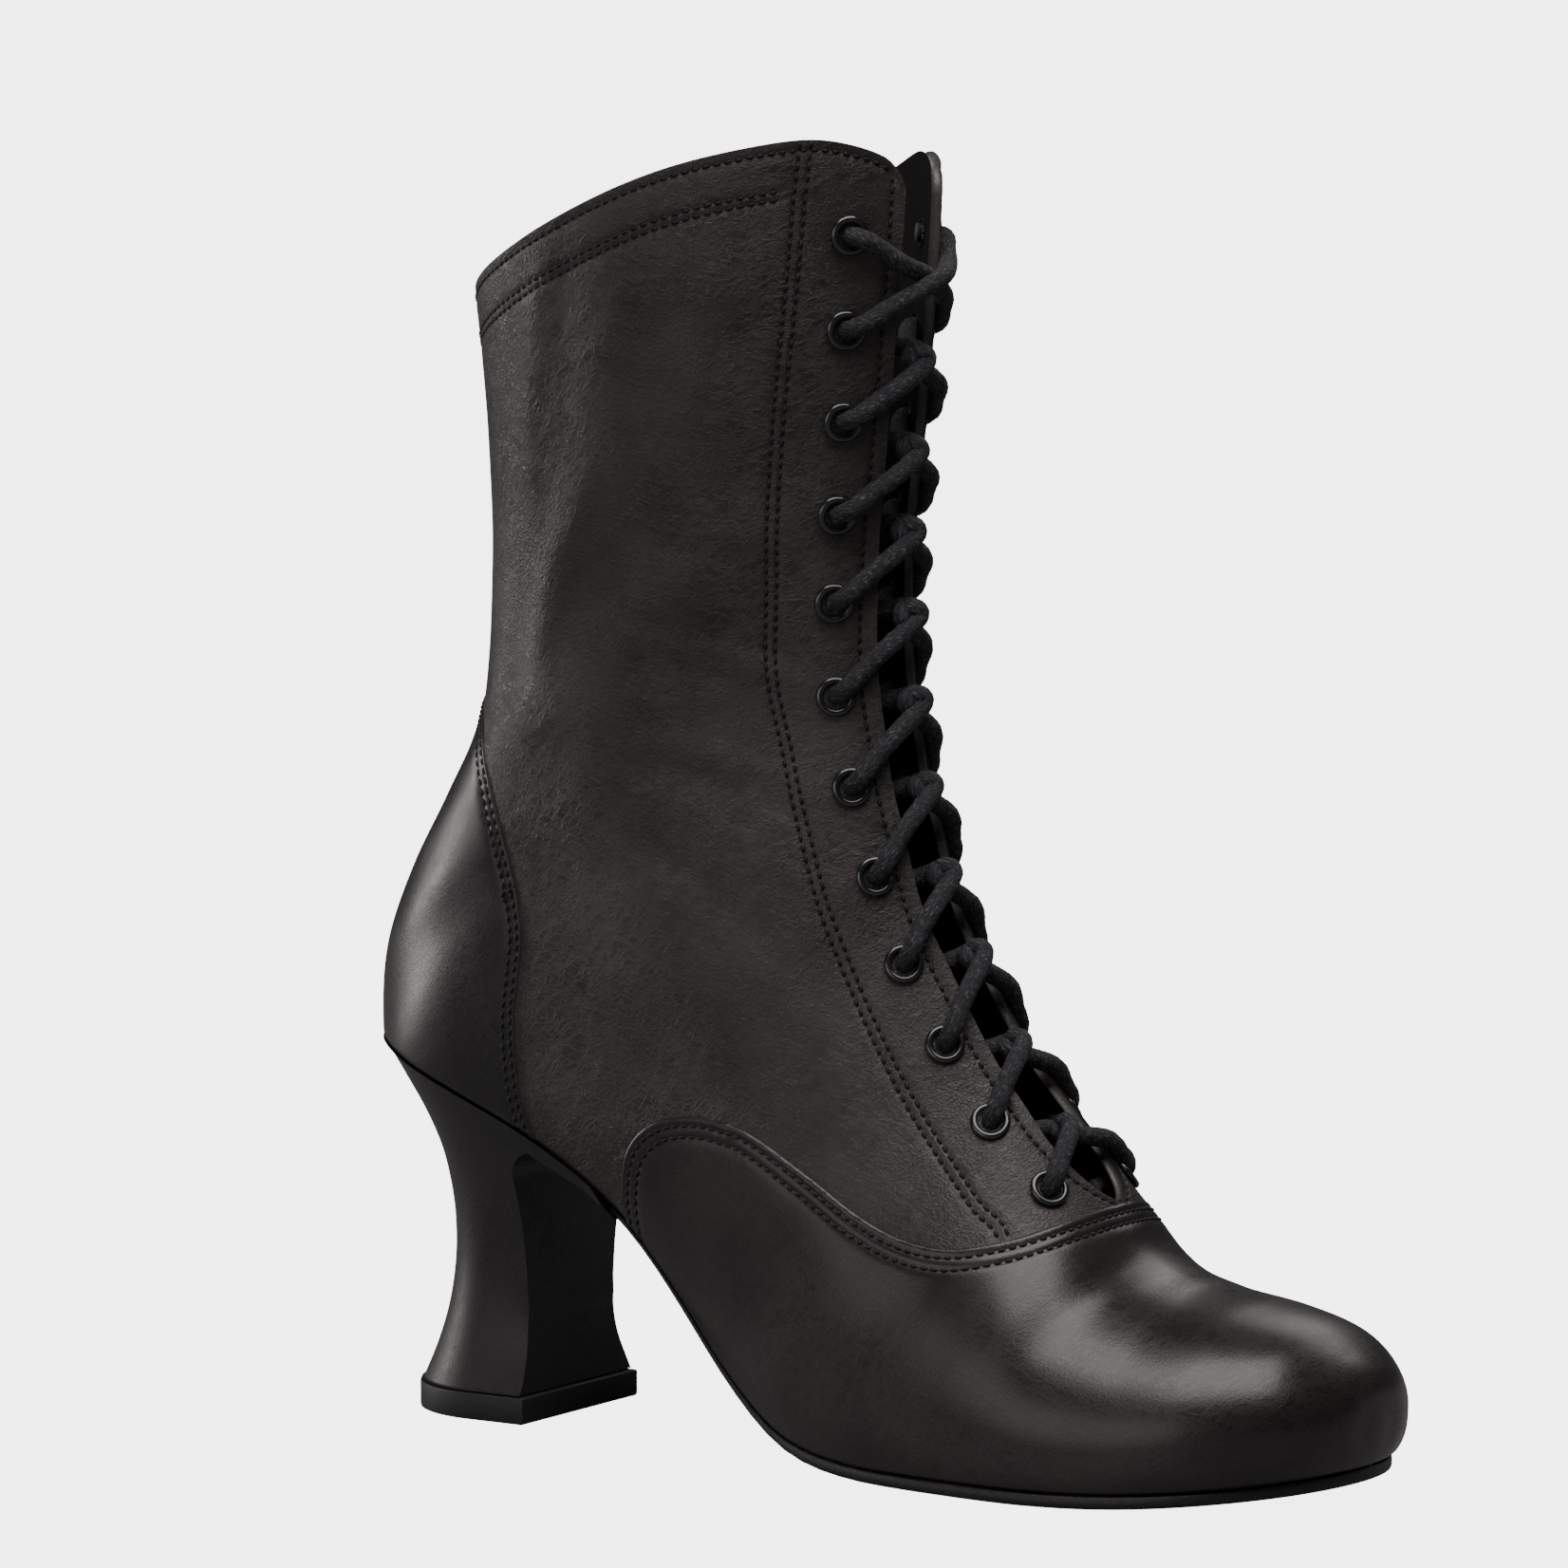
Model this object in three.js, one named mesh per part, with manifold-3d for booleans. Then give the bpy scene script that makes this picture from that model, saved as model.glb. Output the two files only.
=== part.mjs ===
// Lace-up heeled boot, calf high, for the right foot.
// Millimetres. X runs from the heel to the toe, Y to the wearer's left, Z up from the floor.
// While it is worked out, x is 0 at the back of the heel counter; the finished group is centred.

import * as THREE from 'three';
import { mergeVertices } from 'three/addons/utils/BufferGeometryUtils.js';
import Module from 'manifold-3d';

const wasm = await Module();
wasm.setup();

// Driving sizes of the foot and the leg
const footLength = 242; // back of the counter to the tip of the toe
const ballWidth = 85; // upper across the ball of the foot
const seatWidth = 63; // upper across the heel counter
const ankleWidth = 69; // upper across the ankle
const shaftWidth = 86; // upper across the collar
const heelHeight = 80.5; // floor to the back of the seat
const instepHeight = 54; // sole to the foot of the throat
const legHeight = 197.5; // seat to the highest point of the collar
const toeSpring = 3.8; // toe above the floor

// Leather, soles and clearances
const upperWall = 1.9; // leather and lining together
const vampStep = 0.8; // vamp edge above the quarter
const facingStep = 0.5; // eyestay above the quarter
const bandStep = 0.5; // top band above the quarter
const counterStep = 0.6; // heel counter above the quarter
const topBandWidth = 11;
const collarLean = 5; // outer side of the collar above the inner side, across the shaft
const soleThickness = 3; // outsole under the ball
const waistThickness = 1.4; // outsole where it meets the heel
const soleMargin = 1.2; // outsole beyond the upper
const insoleThickness = 2.2;
const gap = 0.3; // between pieces that lie against each other

// Heel
const topPieceHeight = 6;
const topPieceLength = 36.5;
const topPieceWidth = 45;
const topPieceFlare = 0.8; // rubber beyond the covered heel
const heelNeckLength = 27.8; // narrowest part of the heel
const heelNeckWidth = 33;
const breastAt = 45.5; // breast of the heel from the back of the counter
const lipReach = 28; // how far the lip of the heel runs forward of the breast
const lipDepth = 5; // lip at the breast, thinning to nothing forward

// Throat, eyelets and lace
const throatGap = 18.5; // between the facings where they stand widest apart
const eyeletCount = 12;
const eyeletInsetTop = 11; // from the edge of the facing, at the collar
const eyeletInsetFoot = 7.5; // the same at the foot of the throat
const firstEyelet = 15.5; // below the collar
const lastEyelet = 13; // above the foot of the throat
const flangeDiameter = 8.5;
const flangeHeight = 0.8;
const flangeLift = 0.45; // flat flange above the curved leather
const eyeletBore = 5.2;
const shankWall = 0.5;
const laceDiameter = 4.6;
const laceClear = 0.6; // lace to leather, more than the facets of either

// Faces per turn and per row, kept coarse: the fine surface is made later
const outerAround = 24;
const innerAround = 18;
const eyeletSides = 8;
const laceSides = 6;

const table = (columns, rows) =>
  rows.map((row) => Object.fromEntries(columns.map((name, i) => [name, row[i]])));

// Top face of the outsole, which is also the lower edge of the upper, from heel to toe.
// at: share of footLength; heel: share of heelHeight; spring: share of toeSpring
const soleLine = table(['at', 'heel', 'spring'], [
  [-0.05, 1.05, 0],
  [0.03, 1.015, 0],
  [0.09, 0.96, 0],
  [0.15, 0.888, 0],
  [0.21, 0.805, 0],
  [0.26, 0.712, 0],
  [0.305, 0.6, 0],
  [0.345, 0.487, 0],
  [0.385, 0.345, 0],
  [0.425, 0.2, 0],
  [0.465, 0.1, 0],
  [0.51, 0.035, 0],
  [0.57, 0.005, 0],
  [0.65, 0, 0],
  [0.76, 0, 0],
  [0.84, 0, 0.12],
  [0.92, 0, 0.5],
  [1.0, 0, 1],
  [1.05, 0, 1.3],
]);

// Each section of the last runs from a point on the sole or the back to one on the front line.
// X columns are shares of footLength, heel of heelHeight, instep of instepHeight, leg of legHeight.
const sectionLines = table(
  ['backX', 'backHeel', 'backLeg', 'frontX', 'frontHeel', 'frontInstep', 'frontLeg'],
  [
    [0.9985, 0.125, 0, 0.999, 0, 0.29, 0],
    [0.994, 0.09, 0, 0.9955, 0, 0.385, 0],
    [0.977, 0.06, 0, 0.979, 0, 0.48, 0],
    [0.946, 0.035, 0, 0.948, 0, 0.58, 0],
    [0.893, 0.005, 0, 0.897, 0, 0.645, 0],
    [0.826, -0.025, 0, 0.835, 0, 0.695, 0],
    [0.752, -0.035, 0, 0.785, 0, 0.8, 0],
    [0.669, -0.035, 0, 0.745, 0, 1.1, 0],
    [0.579, -0.03, 0, 0.706, 0.13, 1.19, 0],
    [0.488, 0.01, 0, 0.661, 0.36, 1.14, 0],
    [0.405, 0.15, 0, 0.624, 0.62, 0.85, 0.06],
    [0.339, 0.345, 0, 0.596, 0.82, 0.5, 0.145],
    [0.273, 0.565, 0, 0.58, 0.95, 0.2, 0.245],
    [0.182, 0.71, 0, 0.569, 1, 0, 0.335],
    [0.091, 0.8, 0, 0.565, 1, 0, 0.385],
    [0.03, 0.865, 0, 0.562, 1, 0, 0.428],
    [0.001, 1.05, 0, 0.56, 1, 0, 0.472],
    [0.004, 1, 0.098, 0.559, 1, 0, 0.514],
    [0.031, 1, 0.18, 0.558, 1, 0, 0.555],
    [0.07, 1, 0.258, 0.5575, 1, 0, 0.596],
    [0.107, 1, 0.34, 0.56, 1, 0, 0.64],
    [0.122, 1, 0.43, 0.564, 1, 0, 0.69],
    [0.13, 1, 0.55, 0.569, 1, 0, 0.765],
    [0.13, 1, 0.68, 0.573, 1, 0, 0.845],
    [0.122, 1, 0.83, 0.577, 1, 0, 0.94],
    [0.115, 1, 0.98, 0.58, 1, 0, 1.05],
  ],
);

// Width of each section: shares of ballWidth, seatWidth, ankleWidth and shaftWidth, added up.
// widest: share of the way from back to front; backRound: 2 is an ellipse,
// more is squarer; frontPoint: 0.5 is an ellipse, 1 a blunt prow; shift: share of ballWidth to the left
const sectionWidths = table(
  ['ball', 'seat', 'ankle', 'shaft', 'widest', 'backRound', 'frontPoint', 'shift'],
  [
    [0.11, 0, 0, 0, 0.5, 2, 0.5, 0.035],
    [0.31, 0, 0, 0, 0.48, 2.3, 0.5, 0.035],
    [0.54, 0, 0, 0, 0.44, 3, 0.5, 0.032],
    [0.73, 0, 0, 0, 0.4, 3.8, 0.5, 0.028],
    [0.89, 0, 0, 0, 0.36, 4.6, 0.5, 0.018],
    [0.985, 0, 0, 0, 0.33, 5, 0.5, 0.006],
    [1.02, 0, 0, 0, 0.31, 5.2, 0.52, -0.008],
    [1, 0, 0, 0, 0.3, 5.2, 0.68, -0.016],
    [0.95, 0, 0, 0, 0.3, 4.6, 0.8, -0.02],
    [0.58, 0.2, 0.19, 0, 0.33, 3.6, 0.9, -0.02],
    [0.27, 0.35, 0.32, 0, 0.38, 3, 0.95, -0.018],
    [0, 0.48, 0.48, 0, 0.42, 3.1, 0.98, -0.014],
    [0, 0.42, 0.55, 0, 0.45, 3.5, 1, -0.01],
    [0, 0.38, 0.6, 0, 0.48, 4.2, 1, -0.01],
    [0, 0.34, 0.65, 0, 0.5, 4.1, 1, -0.01],
    [0, 0.29, 0.7, 0, 0.5, 3.1, 1, -0.01],
    [0, 0.25, 0.74, 0, 0.5, 2.2, 1, -0.01],
    [0, 0.2, 0.79, 0, 0.5, 2.05, 1, -0.01],
    [0, 0.12, 0.87, 0, 0.5, 2, 1, -0.01],
    [0, 0, 1, 0, 0.49, 2, 1, -0.01],
    [0, 0, 0.92, 0.08, 0.48, 2, 1, -0.01],
    [0, 0, 0.75, 0.24, 0.47, 2, 1, -0.01],
    [0, 0, 0.45, 0.53, 0.47, 2.05, 1, -0.01],
    [0, 0, 0.15, 0.82, 0.47, 2.1, 1, -0.01],
    [0, 0, 0, 1, 0.47, 2.1, 1, -0.01],
    [0, 0, 0, 1.01, 0.47, 2.1, 1, -0.01],
  ],
);

// Collar line seen from the side. at: share of footLength; leg: share of legHeight above the seat
const collarLine = table(['at', 'leg'], [
  [0.06, 0.785],
  [0.13, 0.828],
  [0.23, 0.88],
  [0.32, 0.927],
  [0.4, 0.966],
  [0.46, 0.989],
  [0.5, 1],
  [0.525, 0.996],
  [0.545, 0.982],
  [0.557, 0.958],
  [0.565, 0.925],
  [0.58, 0.88],
]);

// Half of the opening between the facings. up: share of the throat's height; open: share of throatGap
const throatLine = table(['up', 'open'], [
  [0, 0],
  [0.01, 0.24],
  [0.03, 0.44],
  [0.06, 0.54],
  [0.1, 0.52],
  [0.15, 0.48],
  [0.23, 0.45],
  [0.34, 0.42],
  [0.48, 0.39],
  [0.62, 0.38],
  [0.78, 0.4],
  [1, 0.38],
  [1.2, 0.38],
]);

// Vamp edge seen from the side, from the waist over the wing to the throat.
// at: share of footLength; instep: share of instepHeight above the ball; heel: share of heelHeight
const vampLine = table(['at', 'instep', 'heel'], [
  [0.316, 0, 0.45],
  [0.317, 0, 0.6],
  [0.321, 0, 0.69],
  [0.331, 0, 0.785],
  [0.349, 0, 0.848],
  [0.373, 0, 0.884],
  [0.404, 0, 0.897],
  [0.433, 0, 0.888],
  [0.466, 0, 0.86],
  [0.528, 0.2, 0.62],
  [0.575, 0.5, 0.33],
  [0.62, 0.75, 0.1],
  [0.665, 0.865, 0],
  [0.71, 0.9, 0],
  [0.74, 0.95, 0],
  [0.765, 1.01, 0],
  [0.79, 1.04, 0],
]);

// Seam between the facing and the quarter, from the vamp up to the collar.
// at: share of footLength; instep: share of instepHeight above the ball; heel and leg likewise
const facingLine = table(['at', 'instep', 'heel', 'leg'], [
  [0.735, 0.7, 0, 0],
  [0.705, 0.93, 0, 0],
  [0.674, 1.04, 0, 0],
  [0.61, 1, 0.24, 0],
  [0.555, 0.8, 0.5, 0.05],
  [0.52, 0.5, 0.85, 0.08],
  [0.492, 0, 1, 0.25],
  [0.465, 0, 1, 0.365],
  [0.454, 0, 1, 0.44],
  [0.458, 0, 1, 0.53],
  [0.467, 0, 1, 0.65],
  [0.482, 0, 1, 0.8],
  [0.491, 0, 1, 0.9],
  [0.502, 0, 1, 1.05],
]);

// Seam of the heel counter, from the sole up to the back. Columns as above
const counterLine = table(['at', 'heel', 'leg'], [
  [0.235, 0.7, 0],
  [0.223, 0.82, 0],
  [0.218, 0.93, 0],
  [0.217, 1, 0.045],
  [0.222, 1, 0.095],
  [0.226, 1, 0.14],
  [0.219, 1, 0.192],
  [0.2, 1, 0.26],
  [0.178, 1, 0.325],
  [0.15, 1, 0.375],
  [0.1, 1, 0.41],
  [0.04, 1, 0.43],
]);

// Back, front and width of the heel. up: share of the heel's own height at each point;
// foot, neck, seat: how much of each outline goes into that level
const heelLevels = table(['up', 'foot', 'neck', 'seat'], [
  [0, 1, 0, 0],
  [0.11, 0.55, 0.45, 0],
  [0.23, 0.2, 0.8, 0],
  [0.36, 0.02, 0.98, 0],
  [0.48, -0.02, 1, 0.02],
  [0.59, 0, 0.92, 0.08],
  [0.7, 0, 0.78, 0.22],
  [0.81, 0, 0.54, 0.46],
  [0.91, 0, 0.26, 0.74],
  [1, 0, 0, 1],
]);

// Smooth value of every column at t, counted in rows
function blend(rows, t) {
  const i = Math.min(Math.max(Math.floor(t), 0), rows.length - 2);
  const f = t - i;
  const p0 = rows[Math.max(i - 1, 0)];
  const p1 = rows[i];
  const p2 = rows[i + 1];
  const p3 = rows[Math.min(i + 2, rows.length - 1)];
  const out = {};
  for (const name of Object.keys(p1)) {
    const m1 = (p2[name] - p0[name]) / 2;
    const m2 = (p3[name] - p1[name]) / 2;
    const d = p2[name] - p1[name];
    out[name] = p1[name] + f * (m1 + f * (3 * d - 2 * m1 - m2 + f * (m1 + m2 - 2 * d)));
  }
  return out;
}

// Row number at which a rising column reaches a value
function rowAt(rows, name, value) {
  let low = 0;
  let high = rows.length - 1;
  for (let step = 0; step < 30; step += 1) {
    const middle = (low + high) / 2;
    if (blend(rows, middle)[name] < value) low = middle;
    else high = middle;
  }
  return (low + high) / 2;
}

function soleTop(x) {
  const row = blend(soleLine, rowAt(soleLine, 'at', x / footLength));
  const rise = Math.max(row.heel, 0) * (heelHeight - soleThickness);
  return soleThickness + rise + Math.max(row.spring, 0) * toeSpring;
}

// The outsole thins from the ball to the breast of the heel
function soleDepth(x) {
  const thick = THREE.MathUtils.smoothstep(x, breastAt + lipReach, footLength * 0.55);
  return THREE.MathUtils.lerp(waistThickness, soleThickness - gap, thick);
}

const lastRow = sectionLines.length - 1;
const toeRow = 0.05; // first section that still has a width

function lastPoint(t, a) {
  const line = blend(sectionLines, t);
  const form = blend(sectionWidths, t);
  const angle = a * 2 * Math.PI;
  const c = Math.cos(angle);
  const s = Math.sin(angle);
  const behind = c >= 0;
  const along = behind
    ? form.widest * (1 - c ** (2 / form.backRound))
    : THREE.MathUtils.lerp(form.widest, 1, -c);
  const width =
    form.ball * ballWidth + form.seat * seatWidth + form.ankle * ankleWidth + form.shaft * shaftWidth;
  const side = Math.sign(s) * Math.abs(s) ** (behind ? 2 / form.backRound : 2 * form.frontPoint);
  const backX = line.backX * footLength;
  const frontX = line.frontX * footLength;
  const backZ = line.backHeel * heelHeight + line.backLeg * legHeight;
  const frontZ =
    line.frontHeel * heelHeight + line.frontInstep * instepHeight + line.frontLeg * legHeight +
    soleThickness;
  return new THREE.Vector3(
    THREE.MathUtils.lerp(backX, frontX, along),
    form.shift * ballWidth - (side * width) / 2,
    THREE.MathUtils.lerp(backZ, frontZ, along),
  );
}

// Direction straight out of the leather
function outward(t, a) {
  const dt = 0.04;
  const da = 0.006;
  const alongT = lastPoint(Math.min(t + dt, lastRow), a).sub(lastPoint(Math.max(t - dt, 0), a));
  const alongA = lastPoint(t, a + da).sub(lastPoint(t, a - da));
  return alongA.cross(alongT).normalize();
}

// Point on the upper's surface: t is the section, a runs round it from the back over the near side
function skin(t, a, raise) {
  return lastPoint(t, a).addScaledVector(outward(t, a), raise);
}

function toSolid(geometry) {
  const bare = geometry.clone();
  bare.deleteAttribute('normal');
  bare.deleteAttribute('uv');
  const merged = mergeVertices(bare, 1e-4);
  const vertProperties = new Float32Array(merged.attributes.position.array);
  const triVerts = new Uint32Array(merged.index.array);
  return new wasm.Manifold(new wasm.Mesh({ numProp: 3, vertProperties, triVerts }));
}

function toGeometry(solid) {
  const mesh = solid.getMesh();
  const geometry = new THREE.BufferGeometry();
  const { numProp, vertProperties, triVerts } = mesh;
  const count = vertProperties.length / numProp;
  const position = new Float32Array(count * 3);
  for (let i = 0; i < count; i += 1) {
    for (let k = 0; k < 3; k += 1) position[i * 3 + k] = vertProperties[i * numProp + k];
  }
  geometry.setAttribute('position', new THREE.BufferAttribute(position, 3));
  geometry.setIndex(new THREE.BufferAttribute(new Uint32Array(triVerts), 1));
  geometry.computeVertexNormals();
  return geometry;
}

// Closed form through rings of points, all with the same count and the same sense
function loft(rings) {
  const around = rings[0].length;
  const points = rings.flat();
  const faces = [];
  for (let r = 0; r + 1 < rings.length; r += 1) {
    for (let i = 0; i < around; i += 1) {
      const a = r * around + i;
      const b = r * around + ((i + 1) % around);
      faces.push(a, b, b + around, a, b + around, a + around);
    }
  }
  for (const r of [0, rings.length - 1]) {
    const centre = new THREE.Vector3();
    rings[r].forEach((p) => centre.addScaledVector(p, 1 / around));
    const c = points.push(centre) - 1;
    for (let i = 0; i < around; i += 1) {
      const a = r * around + i;
      const b = r * around + ((i + 1) % around);
      if (r === 0) faces.push(c, b, a);
      else faces.push(c, a, b);
    }
  }
  let volume = 0;
  for (let f = 0; f < faces.length; f += 3) {
    const [p, q, w] = [points[faces[f]], points[faces[f + 1]], points[faces[f + 2]]];
    volume += p.dot(q.clone().cross(w));
  }
  if (volume < 0) faces.reverse();
  const geometry = new THREE.BufferGeometry().setFromPoints(points);
  geometry.setIndex(faces);
  return toSolid(geometry);
}

// The last with a layer added all round; the toe and the heel curve most and get closer rings
function lastForm(raise, around, fine) {
  const rings = [];
  for (let t = 0; t <= lastRow; t += 1) {
    const steps = fine && t < lastRow && (t < 3 || (t >= 15 && t < 18)) ? 2 : 1;
    for (let i = 0; i < steps; i += 1) {
      rings.push(Array.from({ length: around }, (_, k) => skin(t + i / steps, k / around, raise)));
    }
  }
  return loft(rings);
}

// Outline in the XZ plane, given as [x, z] pairs, run right across the boot.
// lean: how far it drops from the outer side to the inner one, drawn true at a quarter of the width
function acrossBoot(outline, lean = 0) {
  const shape = new THREE.Shape(outline.map(([x, z]) => new THREE.Vector2(x, z)));
  const depth = ballWidth * 2;
  const geometry = new THREE.ExtrudeGeometry(shape, { depth, bevelEnabled: false, steps: 1 });
  geometry.rotateX(Math.PI / 2);
  geometry.translate(0, depth / 2, 0);
  geometry.applyMatrix4(new THREE.Matrix4().makeShear(0, 0, 0, -lean / shaftWidth, 0, 0));
  geometry.translate(0, 0, -lean / 4);
  return toSolid(geometry);
}

// Points of a table's curve, a few for each row
function trace(rows, perRow, place) {
  const points = [];
  for (let i = 0; i <= (rows.length - 1) * perRow; i += 1) points.push(place(blend(rows, i / perRow)));
  return points;
}

const farX = footLength * 1.4;
const farZ = (heelHeight + legHeight) * 1.3;
const ballZ = soleThickness;

const soleCurve = (drop, perRow = 2) =>
  trace(soleLine, perRow, (row) => {
    const x = row.at * footLength;
    return [x, soleTop(x) - drop(x)];
  });
const collarCurve = trace(collarLine, 1, (row) => [
  row.at * footLength,
  heelHeight + row.leg * legHeight,
]);
const vampCurve = trace(vampLine, 1, (row) => [
  row.at * footLength,
  ballZ + row.instep * instepHeight + row.heel * (heelHeight - ballZ),
]);
const facingCurve = trace(facingLine, 1, (row) => [
  row.at * footLength,
  ballZ + row.instep * instepHeight + row.heel * (heelHeight - ballZ) + row.leg * legHeight,
]);
const counterCurve = trace(counterLine, 1, (row) => [
  row.at * footLength,
  ballZ + row.heel * (heelHeight - ballZ) + row.leg * legHeight,
]);

// Everything under a curve that runs from heel to toe
const under = (curve) =>
  acrossBoot([
    [-farX, -farZ],
    [farX, -farZ],
    [farX, curve.at(-1)[1]],
    ...curve.toReversed(),
    [-farX, curve[0][1]],
  ]);

const throatFoot = ballZ + instepHeight;
const throatTop = heelHeight + legHeight;

// Half of the opening between the facings at a height
function throatHalf(z) {
  const up = (z - throatFoot) / (throatTop - throatFoot);
  if (up <= 0) return 0;
  return blend(throatLine, rowAt(throatLine, 'up', up)).open * throatGap;
}

// Centre of the opening, which follows the shift of the last
const throatY = blend(sectionWidths, lastRow).shift * ballWidth;

function throatCutter() {
  const side = trace(throatLine, 1, (row) => [
    row.open * throatGap,
    throatFoot + row.up * (throatTop - throatFoot),
  ]);
  const outline = [
    ...side.map(([y, z]) => new THREE.Vector2(throatY + y, z)),
    ...side.slice(1).toReversed().map(([y, z]) => new THREE.Vector2(throatY - y, z)),
  ];
  const geometry = new THREE.ExtrudeGeometry(new THREE.Shape(outline), {
    depth: farX - footLength * 0.4,
    bevelEnabled: false,
    steps: 1,
  });
  const frame = new THREE.Matrix4().makeBasis(
    new THREE.Vector3(0, 1, 0),
    new THREE.Vector3(0, 0, 1),
    new THREE.Vector3(1, 0, 0),
  );
  geometry.applyMatrix4(frame);
  geometry.translate(footLength * 0.4, 0, 0);
  return toSolid(geometry);
}

// Round the front of a section, a distance back from the edge of the facing; side 1 is near, -1 far
function backFromThroat(t, side, distance) {
  const step = 0.0025;
  let a = 0.5;
  while (Math.abs(skin(t, a, 0).y - throatY) < throatHalf(skin(t, a, 0).z)) a -= step * side;
  let walked = 0;
  let from = skin(t, a, 0);
  while (walked < distance) {
    a -= step * side;
    const to = skin(t, a, 0);
    walked += to.distanceTo(from);
    from = to;
  }
  return a;
}

// Place of an eyelet in section t; share runs from 0 at the collar to 1 at the foot of the throat
function eyeletSpot(t, side, share) {
  const inset = THREE.MathUtils.lerp(eyeletInsetTop, eyeletInsetFoot, share);
  const a = backFromThroat(t, side, inset);
  return { t, a, centre: skin(t, a, facingStep), normal: outward(t, a) };
}

// Sections at which the eyelets stand, evenly spaced along their own line
function eyeletSections() {
  const cornerZ = heelHeight + legHeight;
  const spots = [];
  for (let t = lastRow; t > 5; t -= 0.1) {
    const z = skin(t, 0.5, 0).z;
    if (z > cornerZ || z < throatFoot) continue;
    spots.push(eyeletSpot(t, 1, (cornerZ - z) / (cornerZ - throatFoot)));
  }
  const lengths = [0];
  for (let i = 1; i < spots.length; i += 1) {
    lengths.push(lengths[i - 1] + spots[i].centre.distanceTo(spots[i - 1].centre));
  }
  const run = lengths.at(-1) - firstEyelet - lastEyelet;
  return Array.from({ length: eyeletCount }, (_, k) => {
    const at = firstEyelet + (run * k) / (eyeletCount - 1);
    const i = Math.max(lengths.findIndex((length) => length >= at), 1);
    const f = (at - lengths[i - 1]) / (lengths[i] - lengths[i - 1]);
    return THREE.MathUtils.lerp(spots[i - 1].t, spots[i].t, f);
  });
}

const eyeletRows = eyeletSections();

const eyeletPlace = (k, side) => eyeletSpot(eyeletRows[k], side, k / (eyeletCount - 1));

const shankDiameter = eyeletBore + 2 * shankWall;

// Turns a piece made along +Z so that it stands out of the leather at an eyelet
function standAt(place) {
  const turn = new THREE.Quaternion().setFromUnitVectors(new THREE.Vector3(0, 0, 1), place.normal);
  return new THREE.Matrix4().compose(place.centre, turn, new THREE.Vector3(1, 1, 1));
}

function eyeletHole(place) {
  const geometry = new THREE.CylinderGeometry(
    shankDiameter / 2 + gap,
    shankDiameter / 2 + gap,
    upperWall * 6,
    eyeletSides,
  );
  geometry.rotateX(Math.PI / 2);
  geometry.applyMatrix4(standAt(place));
  return toSolid(geometry);
}

function eyeletGeometry() {
  const bore = eyeletBore / 2;
  const profile = [
    [bore, -upperWall - facingStep],
    [bore + shankWall, -upperWall - facingStep],
    [bore + shankWall, flangeLift],
    [flangeDiameter / 2, flangeLift],
    [bore + flangeHeight / 4, flangeLift + flangeHeight],
    [bore, -upperWall - facingStep],
  ];
  const geometry = new THREE.LatheGeometry(profile.map(([r, h]) => new THREE.Vector2(r, h)), eyeletSides);
  return geometry.rotateX(Math.PI / 2);
}

// Upper: quarters, vamp, counter, facings and top band in one hollow wall
function upperSolid(places) {
  const plain = lastForm(0, outerAround, true);
  const panel = (raise, outline, lean) =>
    lastForm(raise, outerAround, true).intersect(acrossBoot(outline, lean));
  const vamp = panel(vampStep, [
    ...vampCurve,
    [farX, vampCurve.at(-1)[1]],
    [farX, -farZ],
    [vampCurve[0][0], -farZ],
  ]);
  const facing = panel(facingStep, [...facingCurve, [farX, farZ], [farX, facingCurve[0][1]]]);
  const counter = panel(counterStep, [
    ...counterCurve,
    [-farX, counterCurve.at(-1)[1]],
    [-farX, 0],
    [counterCurve[0][0], 0],
  ]);
  const bandLow = collarCurve.map(([x, z]) => [x, z - topBandWidth]);
  const facingAtCollar = facingCurve.at(-2)[0];
  const bandCurve = bandLow.filter(([x]) => x < facingAtCollar);
  const bandOutline = [[-farX, bandCurve[0][1]], ...bandCurve, [facingAtCollar, farZ], [-farX, farZ]];
  const band = panel(bandStep, bandOutline, collarLean);
  const aboveCollar = acrossBoot(
    [
      [-farX, collarCurve[0][1]],
      ...collarCurve,
      [farX, collarCurve.at(-1)[1]],
      [farX, farZ * 1.5],
      [-farX, farZ * 1.5],
    ],
    collarLean,
  );
  let solid = plain.add(vamp).add(facing).add(counter).add(band);
  solid = solid.subtract(aboveCollar).subtract(under(soleCurve(() => 0)));
  solid = solid.subtract(lastForm(-upperWall, innerAround, false));
  solid = solid.subtract(throatCutter());
  for (const place of places) solid = solid.subtract(eyeletHole(place));
  return solid;
}

// Halving the range until a rising function is zero
function crossing(low, high, height) {
  let [from, to] = [low, high];
  for (let step = 0; step < 24; step += 1) {
    const middle = (from + to) / 2;
    if (height(middle) < 0) from = middle;
    else to = middle;
  }
  return from;
}

// Where the upper's lower edge crosses the sole line on one side, from the toe to the heel
function featherEdge(side, raise) {
  const above = (t, a) => {
    const p = skin(t, side > 0 ? a : 1 - a, raise);
    return p.z - soleTop(p.x);
  };
  const heelEnd = crossing(14, 18, (t) => above(t, 0));
  const steps = 30;
  return Array.from({ length: steps }, (_, i) => {
    const share = (1 - Math.cos((Math.PI * (i + 0.5)) / steps)) / 2;
    const t = THREE.MathUtils.lerp(toeRow, heelEnd, share);
    const a = crossing(0, 0.25, (value) => above(t, value));
    return skin(t, side > 0 ? a : 1 - a, raise);
  });
}

// Outline of the sole from above, round from the toe over the near side to the heel and back
function planOutline(raise) {
  const near = featherEdge(1, raise);
  const far = featherEdge(-1, raise);
  return [...near, ...far.toReversed()].map((p) => new THREE.Vector2(p.x, p.y));
}

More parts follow.
